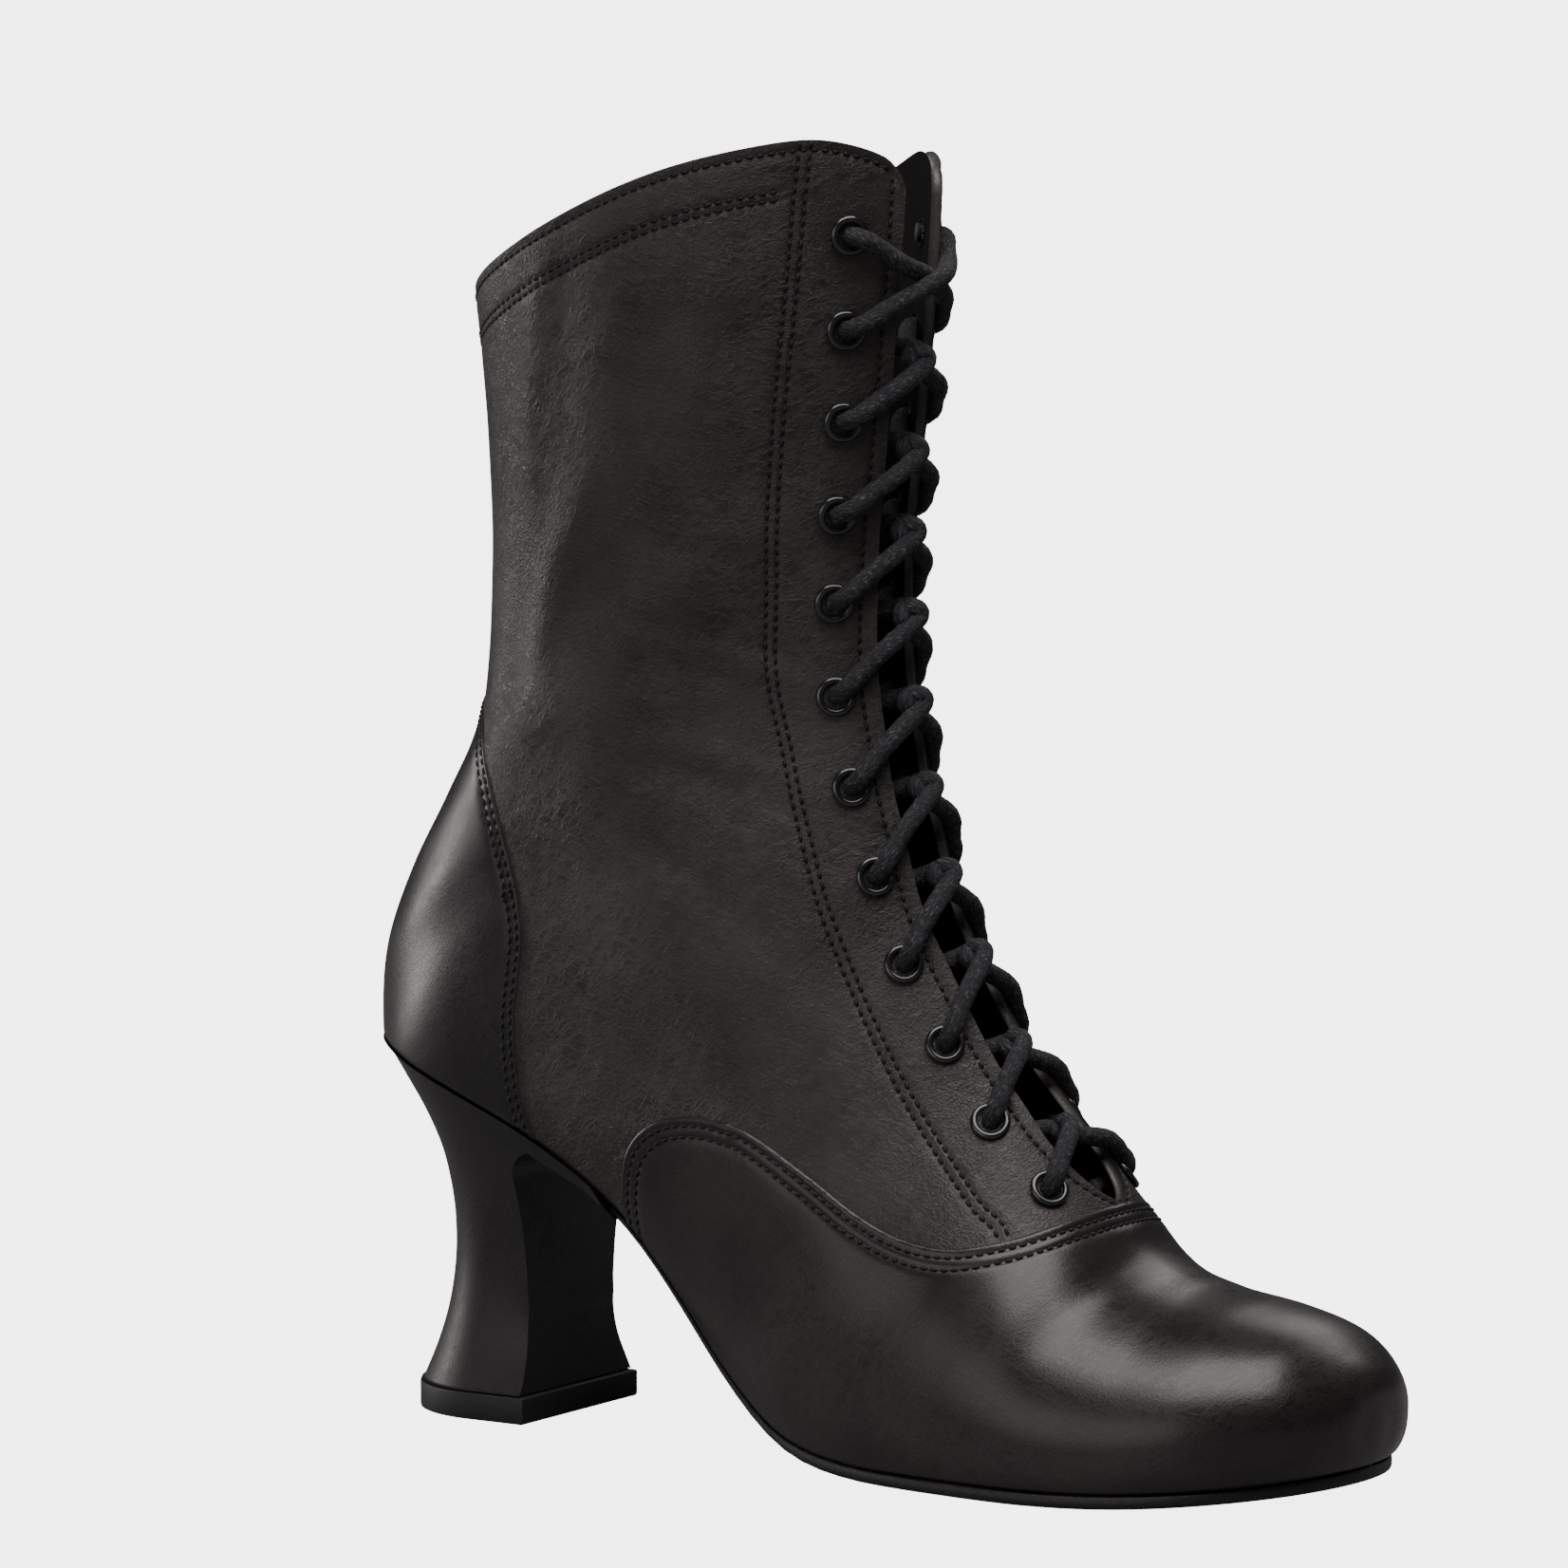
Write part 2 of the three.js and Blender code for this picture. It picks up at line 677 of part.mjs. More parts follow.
function planPrism(raise) {
  const geometry = new THREE.ExtrudeGeometry(new THREE.Shape(planOutline(raise)), {
    depth: farZ,
    bevelEnabled: false,
    steps: 1,
  });
  return toSolid(geometry.translate(0, 0, -farZ / 4));
}

const outsoleEnd = breastAt + lipReach - 4; // the outsole runs this far onto the lip of the heel

function outsoleSolid() {
  const drops = [(x) => gap + soleDepth(x), () => gap];
  const [low, top] = drops.map((drop) => [
    [outsoleEnd, soleTop(outsoleEnd) - drop(outsoleEnd)],
    ...soleCurve(drop).filter(([x]) => x > outsoleEnd),
  ]);
  const slab = acrossBoot([...low, ...top.toReversed()]);
  return planPrism(soleMargin).intersect(slab);
}

function insoleSolid() {
  const top = soleCurve(() => -gap - insoleThickness, 1);
  const low = soleCurve(() => -gap, 1);
  const slab = acrossBoot([...low, ...top.toReversed()]);
  return lastForm(-upperWall - gap, innerAround, false).intersect(slab);
}

// D-shaped outline seen from above: rounded behind, straight sides, flat breast
function dOutline(q, back, front, width) {
  const roundPart = 0.62;
  const x = THREE.MathUtils.lerp(back, front, q);
  const f = Math.min(q / roundPart, 1);
  return { x, y: (width / 2) * Math.sqrt(1 - (1 - f) ** 2) };
}

// Half width of the seat at a place along it, from the upper's own edge
function seatHalf(edge, x) {
  for (let i = 0; i + 1 < edge.length; i += 1) {
    const [p, q] = [edge[i], edge[i + 1]];
    if (p.x >= x && x >= q.x) return Math.abs(THREE.MathUtils.mapLinear(x, p.x, q.x, p.y, q.y) - throatY);
  }
  return 0;
}

const heelFootBack = breastAt + topPieceFlare - topPieceLength;
const neckBack = breastAt - heelNeckLength;

function heelPoint(q, up, side, edge, seatBack, seatFront) {
  const level = blend(heelLevels, rowAt(heelLevels, 'up', up));
  const foot = dOutline(q, heelFootBack, breastAt + topPieceFlare, topPieceWidth - 2 * topPieceFlare);
  const neck = dOutline(q, neckBack, breastAt - topPieceFlare, heelNeckWidth);
  const seatX = THREE.MathUtils.lerp(seatBack, seatFront, q);
  const seat = { x: seatX, y: seatHalf(edge, seatX) };
  const x = level.foot * foot.x + level.neck * neck.x + level.seat * seat.x;
  const y = level.foot * foot.y + level.neck * neck.y + level.seat * seat.y;
  const z = THREE.MathUtils.lerp(topPieceHeight + gap, soleTop(seatX), up);
  return new THREE.Vector3(x, throatY - side * y, z);
}

function heelSolid() {
  const near = featherEdge(1, 0);
  const far = featherEdge(-1, 0);
  const seatBack = Math.min(...near.map((p) => p.x));
  const seatFront = breastAt + lipReach;
  const rings = [];
  const steps = 8;
  for (const level of heelLevels) {
    const ring = [];
    for (let i = steps; i > 0; i -= 1) {
      const q = (1 - Math.cos((i / steps) * (Math.PI / 2))) ** 1.15;
      ring.push(heelPoint(q, level.up, 1, near, seatBack, seatFront));
    }
    ring.push(heelPoint(0, level.up, 0, near, seatBack, seatFront));
    for (let i = 1; i <= steps; i += 1) {
      const q = (1 - Math.cos((i / steps) * (Math.PI / 2))) ** 1.15;
      ring.push(heelPoint(q, level.up, -1, far, seatBack, seatFront));
    }
    rings.push(ring);
  }
  const body = loft(rings);
  const seat = soleCurve(() => gap).filter(([x]) => x < outsoleEnd - gap);
  const lip = soleCurve((x) => 2 * gap + soleDepth(x)).filter(([x]) => x > outsoleEnd - gap);
  const stepAt = outsoleEnd - gap;
  const top = [
    ...seat,
    [stepAt, soleTop(stepAt) - gap],
    [stepAt, soleTop(stepAt) - 2 * gap - soleDepth(stepAt)],
    ...lip,
  ];
  return body.subtract(breastCutter()).intersect(under(top));
}

// What is cleared away in front of the heel, under its lip
function breastCutter() {
  const tip = breastAt + lipReach;
  const bend = 9;
  const points = [[breastAt + topPieceFlare, -gap]];
  const crown = soleTop(breastAt + bend) - lipDepth;
  points.push([breastAt - topPieceFlare, heelHeight * 0.35]);
  const centre = [breastAt - topPieceFlare + bend, crown - bend * 0.55];
  for (let i = 0; i <= 5; i += 1) {
    const angle = Math.PI - (i / 5) * Math.PI * 0.42;
    points.push([centre[0] + bend * Math.cos(angle), centre[1] + bend * 0.8 * Math.sin(angle)]);
  }
  for (let i = 1; i <= 4; i += 1) {
    const x = THREE.MathUtils.lerp(breastAt + bend, tip, i / 4);
    points.push([x, soleTop(x) - THREE.MathUtils.lerp(lipDepth, waistThickness + 2 * gap, i / 4)]);
  }
  points.push([farX, soleTop(tip)], [farX, -gap]);
  return acrossBoot(points);
}

function topPieceGeometry() {
  const outline = [];
  const steps = 10;
  for (let i = -steps; i <= steps; i += 1) {
    const q = 1 - Math.cos((i / steps) * (Math.PI / 2));
    const p = dOutline(q, heelFootBack - topPieceFlare, breastAt + topPieceFlare * 2, topPieceWidth);
    outline.push(new THREE.Vector2(p.x, throatY + Math.sign(i) * p.y));
  }
  return new THREE.ExtrudeGeometry(new THREE.Shape(outline), {
    depth: topPieceHeight,
    bevelEnabled: false,
    steps: 1,
  });
}

const laceRadius = laceDiameter / 2;
const overLeather = laceRadius + facingStep + laceClear;
const overEyelet = overLeather + flangeLift + flangeHeight;
const underLeather = -(upperWall + laceRadius + laceClear);

// Stop for a lace: a place over or under the leather, with the way out of it
const stop = (t, a, rise) => ({ at: skin(t, a, rise), out: outward(t, a) });

// One length of lace from stop to stop
function strand(stops) {
  const rings = stops.map(({ at, out }, i) => {
    const before = stops[Math.max(i - 1, 0)].at;
    const after = stops[Math.min(i + 1, stops.length - 1)].at;
    const along = after.clone().sub(before).normalize();
    const across = along.clone().cross(out).normalize();
    const up = across.clone().cross(along);
    return Array.from({ length: laceSides }, (_, k) => {
      const angle = (k / laceSides) * 2 * Math.PI;
      const point = at.clone().addScaledVector(across, laceRadius * Math.cos(angle));
      return point.addScaledVector(up, laceRadius * Math.sin(angle));
    });
  });
  return loft(rings);
}

// Lace from an eyelet over the edge of its facing to the middle, then under the other facing,
// or over it where the top eyelets are entered from outside
function laceArm(k, side, rise, overBoth) {
  const from = eyeletPlace(k + 1, side);
  const to = eyeletPlace(k, -side);
  const between = (share) => THREE.MathUtils.lerp(from.t, to.t, share);
  const edgeFrom = backFromThroat(between(0.22), side, 0);
  const edgeTo = backFromThroat(between(0.56), -side, 0);
  const within = (edge, share) => THREE.MathUtils.lerp(edge, 0.5, share);
  const stops = [
    stop(from.t, from.a, overEyelet),
    stop(between(0.1), (from.a + edgeFrom) / 2, overLeather + flangeLift),
    stop(between(0.22), within(edgeFrom, 0.2), overLeather),
    stop(between(0.38), 0.5, rise),
  ];
  if (overBoth) {
    stops.push(stop(between(0.7), edgeTo, overLeather), stop(to.t, to.a, overEyelet));
  } else {
    stops.push(
      stop(between(0.56), within(edgeTo, 0.25), underLeather),
      stop(between(0.8), (edgeTo + to.a) / 2, underLeather),
    );
  }
  return strand(stops);
}

function laceCrossing(k) {
  const overBoth = k === 0;
  const upperRise = overBoth ? overLeather + laceRadius : 0;
  const lowerRise = overBoth ? overLeather : -laceRadius;
  return laceArm(k, 1, upperRise, overBoth).add(laceArm(k, -1, lowerRise, overBoth));
}

// Inside, between the two lowest eyelets
function laceBar() {
  const near = eyeletPlace(eyeletCount - 1, 1);
  const far = eyeletPlace(eyeletCount - 1, -1);
  const stops = [0, 0.25, 0.5, 0.75, 1].map((share) =>
    stop(near.t, THREE.MathUtils.lerp(near.a, far.a, share), underLeather - gap),
  );
  return strand(stops);
}

const leather = new THREE.MeshStandardMaterial({ color: 0x242321, roughness: 0.42, metalness: 0 });
const heelLeather = new THREE.MeshStandardMaterial({ color: 0x1f1e1d, roughness: 0.35, metalness: 0 });
const soleLeather = new THREE.MeshStandardMaterial({ color: 0x17110d, roughness: 0.6, metalness: 0 });
const rubber = new THREE.MeshStandardMaterial({ color: 0x1b1b1c, roughness: 0.7, metalness: 0 });
const insoleCloth = new THREE.MeshStandardMaterial({ color: 0x2a2725, roughness: 0.85, metalness: 0 });
const blackMetal = new THREE.MeshStandardMaterial({ color: 0x30302f, roughness: 0.3, metalness: 0.8 });
const cord = new THREE.MeshStandardMaterial({ color: 0x1c1d22, roughness: 0.85, metalness: 0 });

const boot = new THREE.Group();

function addPiece(name, geometry, material) {
  const mesh = new THREE.Mesh(geometry, material);
  mesh.name = name;
  boot.add(mesh);
  return mesh;
}

const places = [];
for (const side of [1, -1]) {
  for (let k = 0; k < eyeletCount; k += 1) places.push({ ...eyeletPlace(k, side), k, side });
}

addPiece('upper', toGeometry(upperSolid(places)), leather);
addPiece('outsole', toGeometry(outsoleSolid()), soleLeather);
addPiece('insole', toGeometry(insoleSolid()), insoleCloth);
addPiece('heel', toGeometry(heelSolid()), heelLeather);
addPiece('top_piece', topPieceGeometry(), rubber);

const ring = eyeletGeometry();
for (const place of places) {
  const name = `eyelet_${place.side > 0 ? 'outer' : 'inner'}_${String(place.k + 1).padStart(2, '0')}`;
  const mesh = addPiece(name, ring, blackMetal);
  mesh.applyMatrix4(standAt(place));
}

for (let k = 0; k < eyeletCount - 1; k += 1) {
  addPiece(`lace_crossing_${String(k + 1).padStart(2, '0')}`, toGeometry(laceCrossing(k)), cord);
}
addPiece('lace_bar', toGeometry(laceBar()), cord);

const bounds = new THREE.Box3().setFromObject(boot);
const centre = bounds.getCenter(new THREE.Vector3());
boot.position.set(-centre.x, -centre.y, -bounds.min.z);

export default boot;
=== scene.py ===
import bpy
import bmesh
import math
import numpy as np
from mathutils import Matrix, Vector


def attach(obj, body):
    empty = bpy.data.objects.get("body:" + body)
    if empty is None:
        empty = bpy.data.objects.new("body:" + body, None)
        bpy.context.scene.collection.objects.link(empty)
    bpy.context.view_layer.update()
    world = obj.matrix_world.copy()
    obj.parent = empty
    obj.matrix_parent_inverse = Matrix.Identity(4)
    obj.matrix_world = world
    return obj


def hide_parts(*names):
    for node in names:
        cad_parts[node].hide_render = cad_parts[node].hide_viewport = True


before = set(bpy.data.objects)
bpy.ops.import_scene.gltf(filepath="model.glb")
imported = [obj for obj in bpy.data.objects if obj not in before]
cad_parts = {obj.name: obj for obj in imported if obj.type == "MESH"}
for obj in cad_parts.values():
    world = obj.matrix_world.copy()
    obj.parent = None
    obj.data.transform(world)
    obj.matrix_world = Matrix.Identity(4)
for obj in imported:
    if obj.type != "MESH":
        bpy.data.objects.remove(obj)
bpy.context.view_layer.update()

mm = 0.001
turn = 2 * math.pi

# Sizes of the boot in millimetres; x is 0 at the back of the counter
boot = {
    "footLength": 242, "ballWidth": 85, "seatWidth": 63, "ankleWidth": 69, "shaftWidth": 86,
    "heelHeight": 80.5, "instepHeight": 54, "legHeight": 197.5, "toeSpring": 3.8,
    "wall": 1.9, "bandWidth": 11, "collarLean": 5, "soleThickness": 3, "waistThickness": 1.4,
    "soleMargin": 1.2, "insoleThickness": 2.2, "gap": 0.3, "throatGap": 18.5, "toeBulge": 0.3,
    "cornerRadius": 4.5,
    "originX": 120.8546, "originY": -0.6792,  # centre of the whole boot, as the frame has it
}
footLength, heelHeight, legHeight = boot["footLength"], boot["heelHeight"], boot["legHeight"]
soleThickness, gap = boot["soleThickness"], boot["gap"]


def table(columns, rows):
    return dict(zip(columns.split(), np.array(rows, float).T))


# at: share of footLength; heel: share of heelHeight; spring: share of toeSpring
soleLine = table("at heel spring", [
    [-0.05, 1.05, 0], [0.03, 1.015, 0], [0.09, 0.96, 0], [0.15, 0.888, 0], [0.21, 0.805, 0],
    [0.26, 0.712, 0], [0.305, 0.6, 0], [0.345, 0.487, 0], [0.385, 0.345, 0], [0.425, 0.2, 0],
    [0.465, 0.1, 0], [0.51, 0.035, 0], [0.57, 0.005, 0], [0.65, 0, 0], [0.76, 0, 0],
    [0.84, 0, 0.12], [0.92, 0, 0.5], [1.0, 0, 1], [1.05, 0, 1.3],
])
# Sections of the last, from the toe to above the collar: X as shares of footLength, the rest of
# heelHeight, instepHeight and legHeight
sectionLines = table("backX backHeel backLeg frontX frontHeel frontInstep frontLeg", [
    [0.9985, 0.125, 0, 0.999, 0, 0.29, 0],
    [0.994, 0.09, 0, 0.9955, 0, 0.385, 0],
    [0.977, 0.06, 0, 0.979, 0, 0.48, 0],
    [0.946, 0.035, 0, 0.948, 0, 0.58, 0],
    [0.893, 0.005, 0, 0.897, 0, 0.645, 0],
    [0.826, -0.025, 0, 0.835, 0, 0.695, 0],
    [0.752, -0.035, 0, 0.785, 0, 0.8, 0],
    [0.669, -0.035, 0, 0.745, 0, 1.1, 0],
    [0.579, -0.03, 0, 0.706, 0.13, 1.19, 0],
    [0.488, 0.01, 0, 0.661, 0.36, 1.14, 0],
    [0.405, 0.15, 0, 0.624, 0.62, 0.85, 0.06],
    [0.339, 0.345, 0, 0.596, 0.82, 0.5, 0.145],
    [0.273, 0.565, 0, 0.58, 0.95, 0.2, 0.245],
    [0.182, 0.71, 0, 0.569, 1, 0, 0.335],
    [0.091, 0.8, 0, 0.565, 1, 0, 0.385],
    [0.03, 0.865, 0, 0.562, 1, 0, 0.428],
    [0.001, 1.05, 0, 0.56, 1, 0, 0.472],
    [0.004, 1, 0.098, 0.559, 1, 0, 0.514],
    [0.031, 1, 0.18, 0.558, 1, 0, 0.555],
    [0.07, 1, 0.258, 0.5575, 1, 0, 0.596],
    [0.107, 1, 0.34, 0.56, 1, 0, 0.64],
    [0.122, 1, 0.43, 0.564, 1, 0, 0.69],
    [0.13, 1, 0.55, 0.569, 1, 0, 0.765],
    [0.13, 1, 0.68, 0.573, 1, 0, 0.845],
    [0.122, 1, 0.83, 0.577, 1, 0, 0.94],
    [0.115, 1, 0.98, 0.58, 1, 0, 1.05],
])
sectionWidths = table("ball seat ankle shaft widest backRound frontPoint shift", [
    [0.11, 0, 0, 0, 0.5, 2, 0.5, 0.035],
    [0.31, 0, 0, 0, 0.48, 2.3, 0.5, 0.035],
    [0.54, 0, 0, 0, 0.44, 3, 0.5, 0.032],
    [0.73, 0, 0, 0, 0.4, 3.8, 0.5, 0.028],
    [0.89, 0, 0, 0, 0.36, 4.6, 0.5, 0.018],
    [0.985, 0, 0, 0, 0.33, 5, 0.5, 0.006],
    [1.02, 0, 0, 0, 0.31, 5.2, 0.52, -0.008],
    [1, 0, 0, 0, 0.3, 5.2, 0.68, -0.016],
    [0.95, 0, 0, 0, 0.3, 4.6, 0.8, -0.02],
    [0.58, 0.2, 0.19, 0, 0.33, 3.6, 0.9, -0.02],
    [0.27, 0.35, 0.32, 0, 0.38, 3, 0.95, -0.018],
    [0, 0.48, 0.48, 0, 0.42, 3.1, 0.98, -0.014],
    [0, 0.42, 0.55, 0, 0.45, 3.5, 1, -0.01],
    [0, 0.38, 0.6, 0, 0.48, 4.2, 1, -0.01],
    [0, 0.34, 0.65, 0, 0.5, 4.1, 1, -0.01],
    [0, 0.29, 0.7, 0, 0.5, 3.1, 1, -0.01],
    [0, 0.25, 0.74, 0, 0.5, 2.2, 1, -0.01],
    [0, 0.2, 0.79, 0, 0.5, 2.05, 1, -0.01],
    [0, 0.12, 0.87, 0, 0.5, 2, 1, -0.01],
    [0, 0, 1, 0, 0.49, 2, 1, -0.01],
    [0, 0, 0.92, 0.08, 0.48, 2, 1, -0.01],
    [0, 0, 0.75, 0.24, 0.47, 2, 1, -0.01],
    [0, 0, 0.45, 0.53, 0.47, 2.05, 1, -0.01],
    [0, 0, 0.15, 0.82, 0.47, 2.1, 1, -0.01],
    [0, 0, 0, 1, 0.47, 2.1, 1, -0.01],
    [0, 0, 0, 1.01, 0.47, 2.1, 1, -0.01],
])
collarLine = table("at leg", [
    [0.06, 0.785], [0.13, 0.828], [0.23, 0.88], [0.32, 0.927], [0.4, 0.966], [0.46, 0.989],
    [0.5, 1], [0.525, 0.997], [0.546, 0.985], [0.56, 0.965], [0.569, 0.935], [0.5745, 0.895],
    [0.579, 0.83],
])
throatLine = table("up open", [
    [0, 0], [0.01, 0.24], [0.03, 0.44], [0.06, 0.54], [0.1, 0.52], [0.15, 0.48], [0.23, 0.45],
    [0.34, 0.42], [0.48, 0.39], [0.62, 0.38], [0.78, 0.4], [1, 0.38], [1.2, 0.38],
])
vampLine = table("at instep heel leg", [
    [0.316, 0, 0.45, 0], [0.317, 0, 0.6, 0], [0.321, 0, 0.69, 0], [0.331, 0, 0.785, 0],
    [0.349, 0, 0.848, 0], [0.373, 0, 0.884, 0], [0.404, 0, 0.897, 0], [0.433, 0, 0.888, 0],
    [0.466, 0, 0.86, 0], [0.528, 0.2, 0.62, 0], [0.575, 0.5, 0.33, 0], [0.62, 0.75, 0.1, 0],
    [0.665, 0.865, 0, 0], [0.71, 0.9, 0, 0], [0.74, 0.95, 0, 0], [0.765, 1.01, 0, 0],
    [0.79, 1.04, 0, 0],
])
facingLine = table("at instep heel leg", [
    [0.735, 0.7, 0, 0], [0.705, 0.93, 0, 0], [0.674, 1.04, 0, 0], [0.61, 1, 0.24, 0],
    [0.555, 0.8, 0.5, 0.05], [0.52, 0.5, 0.85, 0.08], [0.492, 0, 1, 0.25], [0.465, 0, 1, 0.365],
    [0.454, 0, 1, 0.44], [0.458, 0, 1, 0.53], [0.467, 0, 1, 0.65], [0.482, 0, 1, 0.8],
    [0.491, 0, 1, 0.9], [0.502, 0, 1, 1.05],
])
counterLine = table("at instep heel leg", [
    [0.235, 0, 0.7, 0], [0.223, 0, 0.82, 0], [0.218, 0, 0.93, 0], [0.217, 0, 1, 0.045],
    [0.222, 0, 1, 0.095], [0.226, 0, 1, 0.14], [0.219, 0, 1, 0.192], [0.2, 0, 1, 0.26],
    [0.178, 0, 1, 0.325], [0.15, 0, 1, 0.375], [0.1, 0, 1, 0.41], [0.04, 0, 1, 0.43],
])
heelLevels = table("up foot neck seat", [
    [0, 1, 0, 0], [0.11, 0.55, 0.45, 0], [0.23, 0.2, 0.8, 0], [0.36, 0.02, 0.98, 0],
    [0.48, -0.02, 1, 0.02], [0.59, 0, 0.92, 0.08], [0.7, 0, 0.78, 0.22], [0.81, 0, 0.54, 0.46],
    [0.91, 0, 0.26, 0.74], [1, 0, 0, 1],
])


def blend(column, t):
    t = np.asarray(t, float)
    last = len(column) - 1
    i = np.clip(np.floor(t).astype(int), 0, last - 1)
    f = t - i
    p0, p1, p2, p3 = (column[np.clip(i + k, 0, last)] for k in (-1, 0, 1, 2))
    m1, m2, d = (p2 - p0) / 2, (p3 - p1) / 2, p2 - p1
    return p1 + f * (m1 + f * (3 * d - 2 * m1 - m2 + f * (m1 + m2 - 2 * d)))


def readAt(rows, key, value, name):  # one column where another reaches a value
    t = np.linspace(0, len(rows[key]) - 1, 1500)
    return np.interp(value, blend(rows[key], t), blend(rows[name], t))


def mix(a, b, share):
    return a + (b - a) * share


def unit(v):
    return v / np.maximum(np.linalg.norm(v, axis=-1, keepdims=True), 1e-9)


def walk(points):  # distance from the first point along a line of points
    steps = np.linalg.norm(np.diff(points, axis=0), axis=1)
    return np.concatenate([[0], np.cumsum(steps)])


def ease(low, high, value):
    f = np.clip((value - low) / (high - low), 0, 1)
    return f * f * (3 - 2 * f)


def soleTop(x):
    share = np.asarray(x) / footLength
    heel = np.maximum(readAt(soleLine, "at", share, "heel"), 0)
    spring = np.maximum(readAt(soleLine, "at", share, "spring"), 0)
    return soleThickness + heel * (heelHeight - soleThickness) + spring * boot["toeSpring"]


def sideCurve(rows, steps=90):
    t = np.linspace(0, len(rows["at"]) - 1, steps)
    at, instep, heel, leg = (blend(rows[name], t) for name in ("at", "instep", "heel", "leg"))
    z = soleThickness + instep * boot["instepHeight"] + heel * (heelHeight - soleThickness)
    return np.column_stack([at * footLength, z + leg * legHeight])


# the last and the leather over it

lastRow = len(sectionLines["backX"]) - 1
throatFoot = soleThickness + boot["instepHeight"]
throatTop = heelHeight + legHeight
throatY = sectionWidths["shift"][-1] * boot["ballWidth"]


def lastPoint(t, a):
    t, a = np.broadcast_arrays(np.asarray(t, float), np.asarray(a, float))
    row = np.clip(t, 0, lastRow)
    shrink = np.clip(1 + t, 0, 1)  # below 0 the first section closes to the tip of the toe
    line = {name: blend(column, row) for name, column in sectionLines.items()}
    form = {name: blend(column, row) for name, column in sectionWidths.items()}
    c, s = np.cos(a * turn), np.sin(a * turn)
    behind = c >= 0
    fromBack = form["widest"] * (1 - np.abs(c) ** (2 / form["backRound"]))
    share = np.where(behind, fromBack, mix(form["widest"], 1, -c))
    power = np.where(behind, 2 / form["backRound"], 2 * form["frontPoint"])
    width = sum(form[k] * boot[k + "Width"] for k in ("ball", "seat", "ankle", "shaft"))
    backZ = line["backHeel"] * heelHeight + line["backLeg"] * legHeight
    frontZ = line["frontHeel"] * heelHeight + line["frontInstep"] * boot["instepHeight"]
    frontZ = frontZ + line["frontLeg"] * legHeight + soleThickness
    side = np.sign(s) * np.abs(s) ** power * shrink
    share = 0.5 + (share - 0.5) * shrink
    x = mix(line["backX"], line["frontX"], share) * footLength
    x = x + boot["toeBulge"] * (1 - shrink ** 2)
    y = form["shift"] * boot["ballWidth"] - side * width / 2
    return np.stack([x, y, mix(backZ, frontZ, share)], -1)


def outward(t, a):  # direction out of the last
    nearT, nearA = 0.04, 0.006
    high = lastPoint(np.minimum(t + nearT, lastRow), a)
    alongT = high - lastPoint(np.maximum(t - nearT, -0.97), a)
    alongA = lastPoint(t, a + nearA) - lastPoint(t, a - nearA)
    normal = unit(np.cross(alongA, alongT))
    tip = (np.asarray(t) < -0.9)[..., None]
    return np.where(tip, np.array([1.0, 0, 0]), normal)


def skin(t, a, rise):
    return lastPoint(t, a) + outward(t, a) * np.asarray(rise)[..., None]


collarAt = np.linspace(0.06, 0.58, 200)
collarCurve = np.column_stack([
    collarAt * footLength,
    heelHeight + readAt(collarLine, "at", collarAt, "leg") * legHeight,
])


def throatHalf(z):
    up = (z - throatFoot) / (throatTop - throatFoot)
    return np.where(up <= 0, 0, readAt(throatLine, "up", up, "open") * boot["throatGap"])


def collarZ(x, y):
    lean = boot["collarLean"] * (y / boot["shaftWidth"] + 0.25)
    radius = boot["cornerRadius"]  # the front corner is cut round
    edge = np.clip(1 - (np.abs(y - throatY) - throatHalf(throatTop)) / radius, 0, 1)
    corner = radius * (1 - np.sqrt(1 - edge ** 2)) * (x > footLength * 0.4)
    return np.interp(x, collarCurve[:, 0], collarCurve[:, 1]) - lean - corner


def firstCrossing(values, places):  # place where each row of values first rises to 0
    above = values >= 0
    i = np.where(above.any(1), above.argmax(1), values.shape[1] - 1)
    j = np.maximum(i - 1, 0)
    rows = np.arange(len(values))
    low, high = values[rows, j], values[rows, i]
    f = np.where(i > 0, np.clip(-low / np.where(high - low == 0, 1, high - low), 0, 1), 0)
    return mix(places[j], places[i], f)


# Rows closer together where the throat, the waist and the toe turn quickly
rowGrid = np.unique(np.concatenate([
    np.linspace(-1, lastRow, 900), np.linspace(0, 1.5, 200), np.linspace(14.8, 16, 300),
    np.linspace(7, 9, 200),
]))
halfTurn = np.linspace(0, 0.5, 361)
edges = {}  # for each side of the boot, 1 is the outer and -1 the inner one
for side in (1, -1):
    places = halfTurn if side > 0 else 1 - halfTurn
    p = lastPoint(rowGrid[:, None], places[None, :])
    low = firstCrossing(p[..., 2] - soleTop(p[..., 0]), halfTurn)
    beside = np.abs(p[..., 1] - throatY) - throatHalf(p[..., 2])
    beside = np.where(p[..., 2] > throatFoot, beside, 1)
    high = 0.5 - firstCrossing(beside[:, ::-1], halfTurn)
    edges[side] = {"low": low, "high": high}
    share = np.linspace(0, 1, 160)
    rows = np.linspace(19, lastRow, 260)
    lowAt, highAt = np.interp(rows, rowGrid, low), np.interp(rows, rowGrid, high)
    a = mix(lowAt[None, :], highAt[None, :], share[:, None])
    p = lastPoint(rows[None, :], a if side > 0 else 1 - a)
    over = p[..., 2] - collarZ(p[..., 0], p[..., 1])
    edges[side]["top"] = (share, firstCrossing(over, rows))

topBlend = 18  # above this row the sections follow the collar


